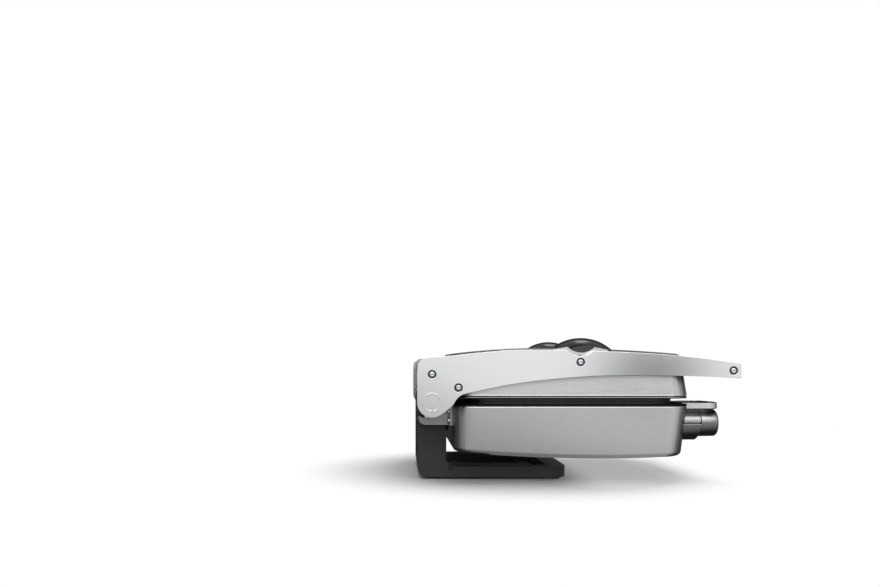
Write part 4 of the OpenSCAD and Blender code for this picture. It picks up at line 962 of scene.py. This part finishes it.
# The tent's darker and lighter places, and the share of its white that each takes away. The
# last two in the list are lighter than the rest, so their shares are below zero.
behind = add(tree, "MapRange", smooth_step, {
    "Value": side_turn, "From Min": 60, "From Max": 112}).outputs[0]
low_wall = band(tree, height, low=-0.6, high=0.55, soft=0.1)
corners = band(tree, height, low=-0.6, high=0.55, soft=0.1, within=behind)
left_flag = band(tree, turn, low=-95, high=-35, soft=8, within=low_wall)
drape = band(tree, side_turn, low=150, high=190, soft=8, within=low_wall)
dark_back = band(tree, height, low=0.5, high=1.1, soft=0.1, within=behind)
ceiling = add(tree, "MapRange", smooth_step, {
    "Value": height, "From Min": 0.86, "From Max": 0.94}).outputs[0]
upper_turn = band(tree, side_turn, low=-40, high=60, soft=10)
upper = band(tree, height, low=0.05, high=0.4, soft=0.03, within=upper_turn)
strip_turn = band(tree, side_turn, low=-40, high=34, soft=6)
front_strip = band(tree, height, low=0.5, high=0.8, soft=0.05, within=strip_turn)
tone = 1.0
for mask, share in ((corners, 0.88), (left_flag, 0.45), (drape, 0.6), (dark_back, 0.72),
                    (ceiling, 0.5), (upper, -0.12), (front_strip, -5.0)):
    kept = add(tree, "Math", {"operation": "MULTIPLY_ADD"}, {0: mask, 1: -share, 2: 1.0})
    tone = add(tree, "Math", {"operation": "MULTIPLY"}, {0: tone, 1: kept.outputs[0]}).outputs[0]
lamp_turn = band(tree, turn, low=159, high=176, soft=5)
back_lamp = band(tree, height, low=0.64, high=0.82, soft=0.04, within=lamp_turn)
lamp_tone = 0.9
tone = add(tree, "Math", {"operation": "MULTIPLY_ADD"}, {
    0: back_lamp, 1: lamp_tone, 2: tone}).outputs[0]

# Shiny pieces see the tent's tones, the lens sees plain white, and all else is lit evenly.
ray = add(tree, "LightPath")
glossy = add(tree, "Background", inputs={"Color": (1, 1, 1, 1), "Strength": tone})
tent = add(tree, "Background", inputs={"Color": (1, 1, 1, 1), "Strength": 0.5})
backdrop = add(tree, "Background", inputs={"Color": (1, 1, 1, 1), "Strength": 1.0})
mixed = add(tree, "MixShader", inputs={
    0: ray.outputs["Is Glossy Ray"], 1: tent.outputs[0], 2: glossy.outputs[0]})
mixed = add(tree, "MixShader", inputs={
    0: ray.outputs["Is Camera Ray"], 1: mixed.outputs[0], 2: backdrop.outputs[0]})
add(tree, "OutputWorld", inputs={"Surface": mixed.outputs[0]})


def softbox(name, where, target, width, height, watts):
    """A rectangular lamp that looks at a target, with its places and sizes in metres."""
    light = bpy.data.lights.new(name, "AREA")
    light.shape = "RECTANGLE"
    light.size = width
    light.size_y = height
    light.energy = watts
    lamp = bpy.data.objects.new(name, light)
    scene.collection.objects.link(lamp)
    lamp.location = where
    lamp.rotation_euler = (Vector(target) - Vector(where)).to_track_quat("-Z", "Y").to_euler()
    return lamp


overhead = softbox("overhead", where=(0, 0.1, 1.6), target=(0, 0, 0), width=1.5, height=1.3,
                   watts=14)
overhead.visible_glossy = False
front_high = softbox("front_high", where=(0, -1.2, 1.1), target=(0, -0.12, 0.03), width=1.2,
                     height=0.6, watts=7)
front_high.visible_glossy = False
softbox("front_box", where=(0, -1.9, 0.8), target=(0, 0, 0.08), width=2.0, height=0.7, watts=9)

card_x, card_y = 390.2, -1300.0
card_width, card_height = 460.0, 170.0
card_middle, card_soft, card_tone = 100.0, 100.0, 0.2
bpy.ops.object.select_all(action="DESELECT")
bpy.ops.mesh.primitive_plane_add(size=1, enter_editmode=True, location=(0, 0, 0))
grey_card = bpy.context.object
grey_card.name = "grey_card"
bpy.ops.transform.rotate(value=math.pi / 2, orient_axis="X", center_override=(0, 0, 0))
bpy.ops.transform.resize(value=(card_width / 1000, 1, card_height / 1000))
bpy.ops.transform.translate(value=(card_x / 1000, card_y / 1000, card_height / 2000))
bpy.ops.object.mode_set(mode="OBJECT")

# Grey card: matt and darkest in its middle, and as white as the tent at its edges.
card_grey, tree = start_material("grey_card")
spot = add(tree, "SeparateXYZ", inputs={"Vector": add(tree, "TexCoord").outputs["Object"]})
middle = band(tree, spot.outputs["X"], low=(card_x - card_middle) / 1000,
              high=(card_x + card_middle) / 1000, soft=card_soft / 1000)
shaded = add(tree, "MapRange", inputs={"Value": middle, "To Min": 1.0, "To Max": card_tone})
glow = add(tree, "Emission", inputs={"Color": (1, 1, 1, 1), "Strength": shaded.outputs[0]})
add(tree, "OutputMaterial", inputs={"Surface": glow.outputs[0]})
grey_card.data.materials.append(card_grey)
grey_card.visible_camera = False
grey_card.visible_diffuse = False
grey_card.visible_shadow = False
grey_card.visible_transmission = False
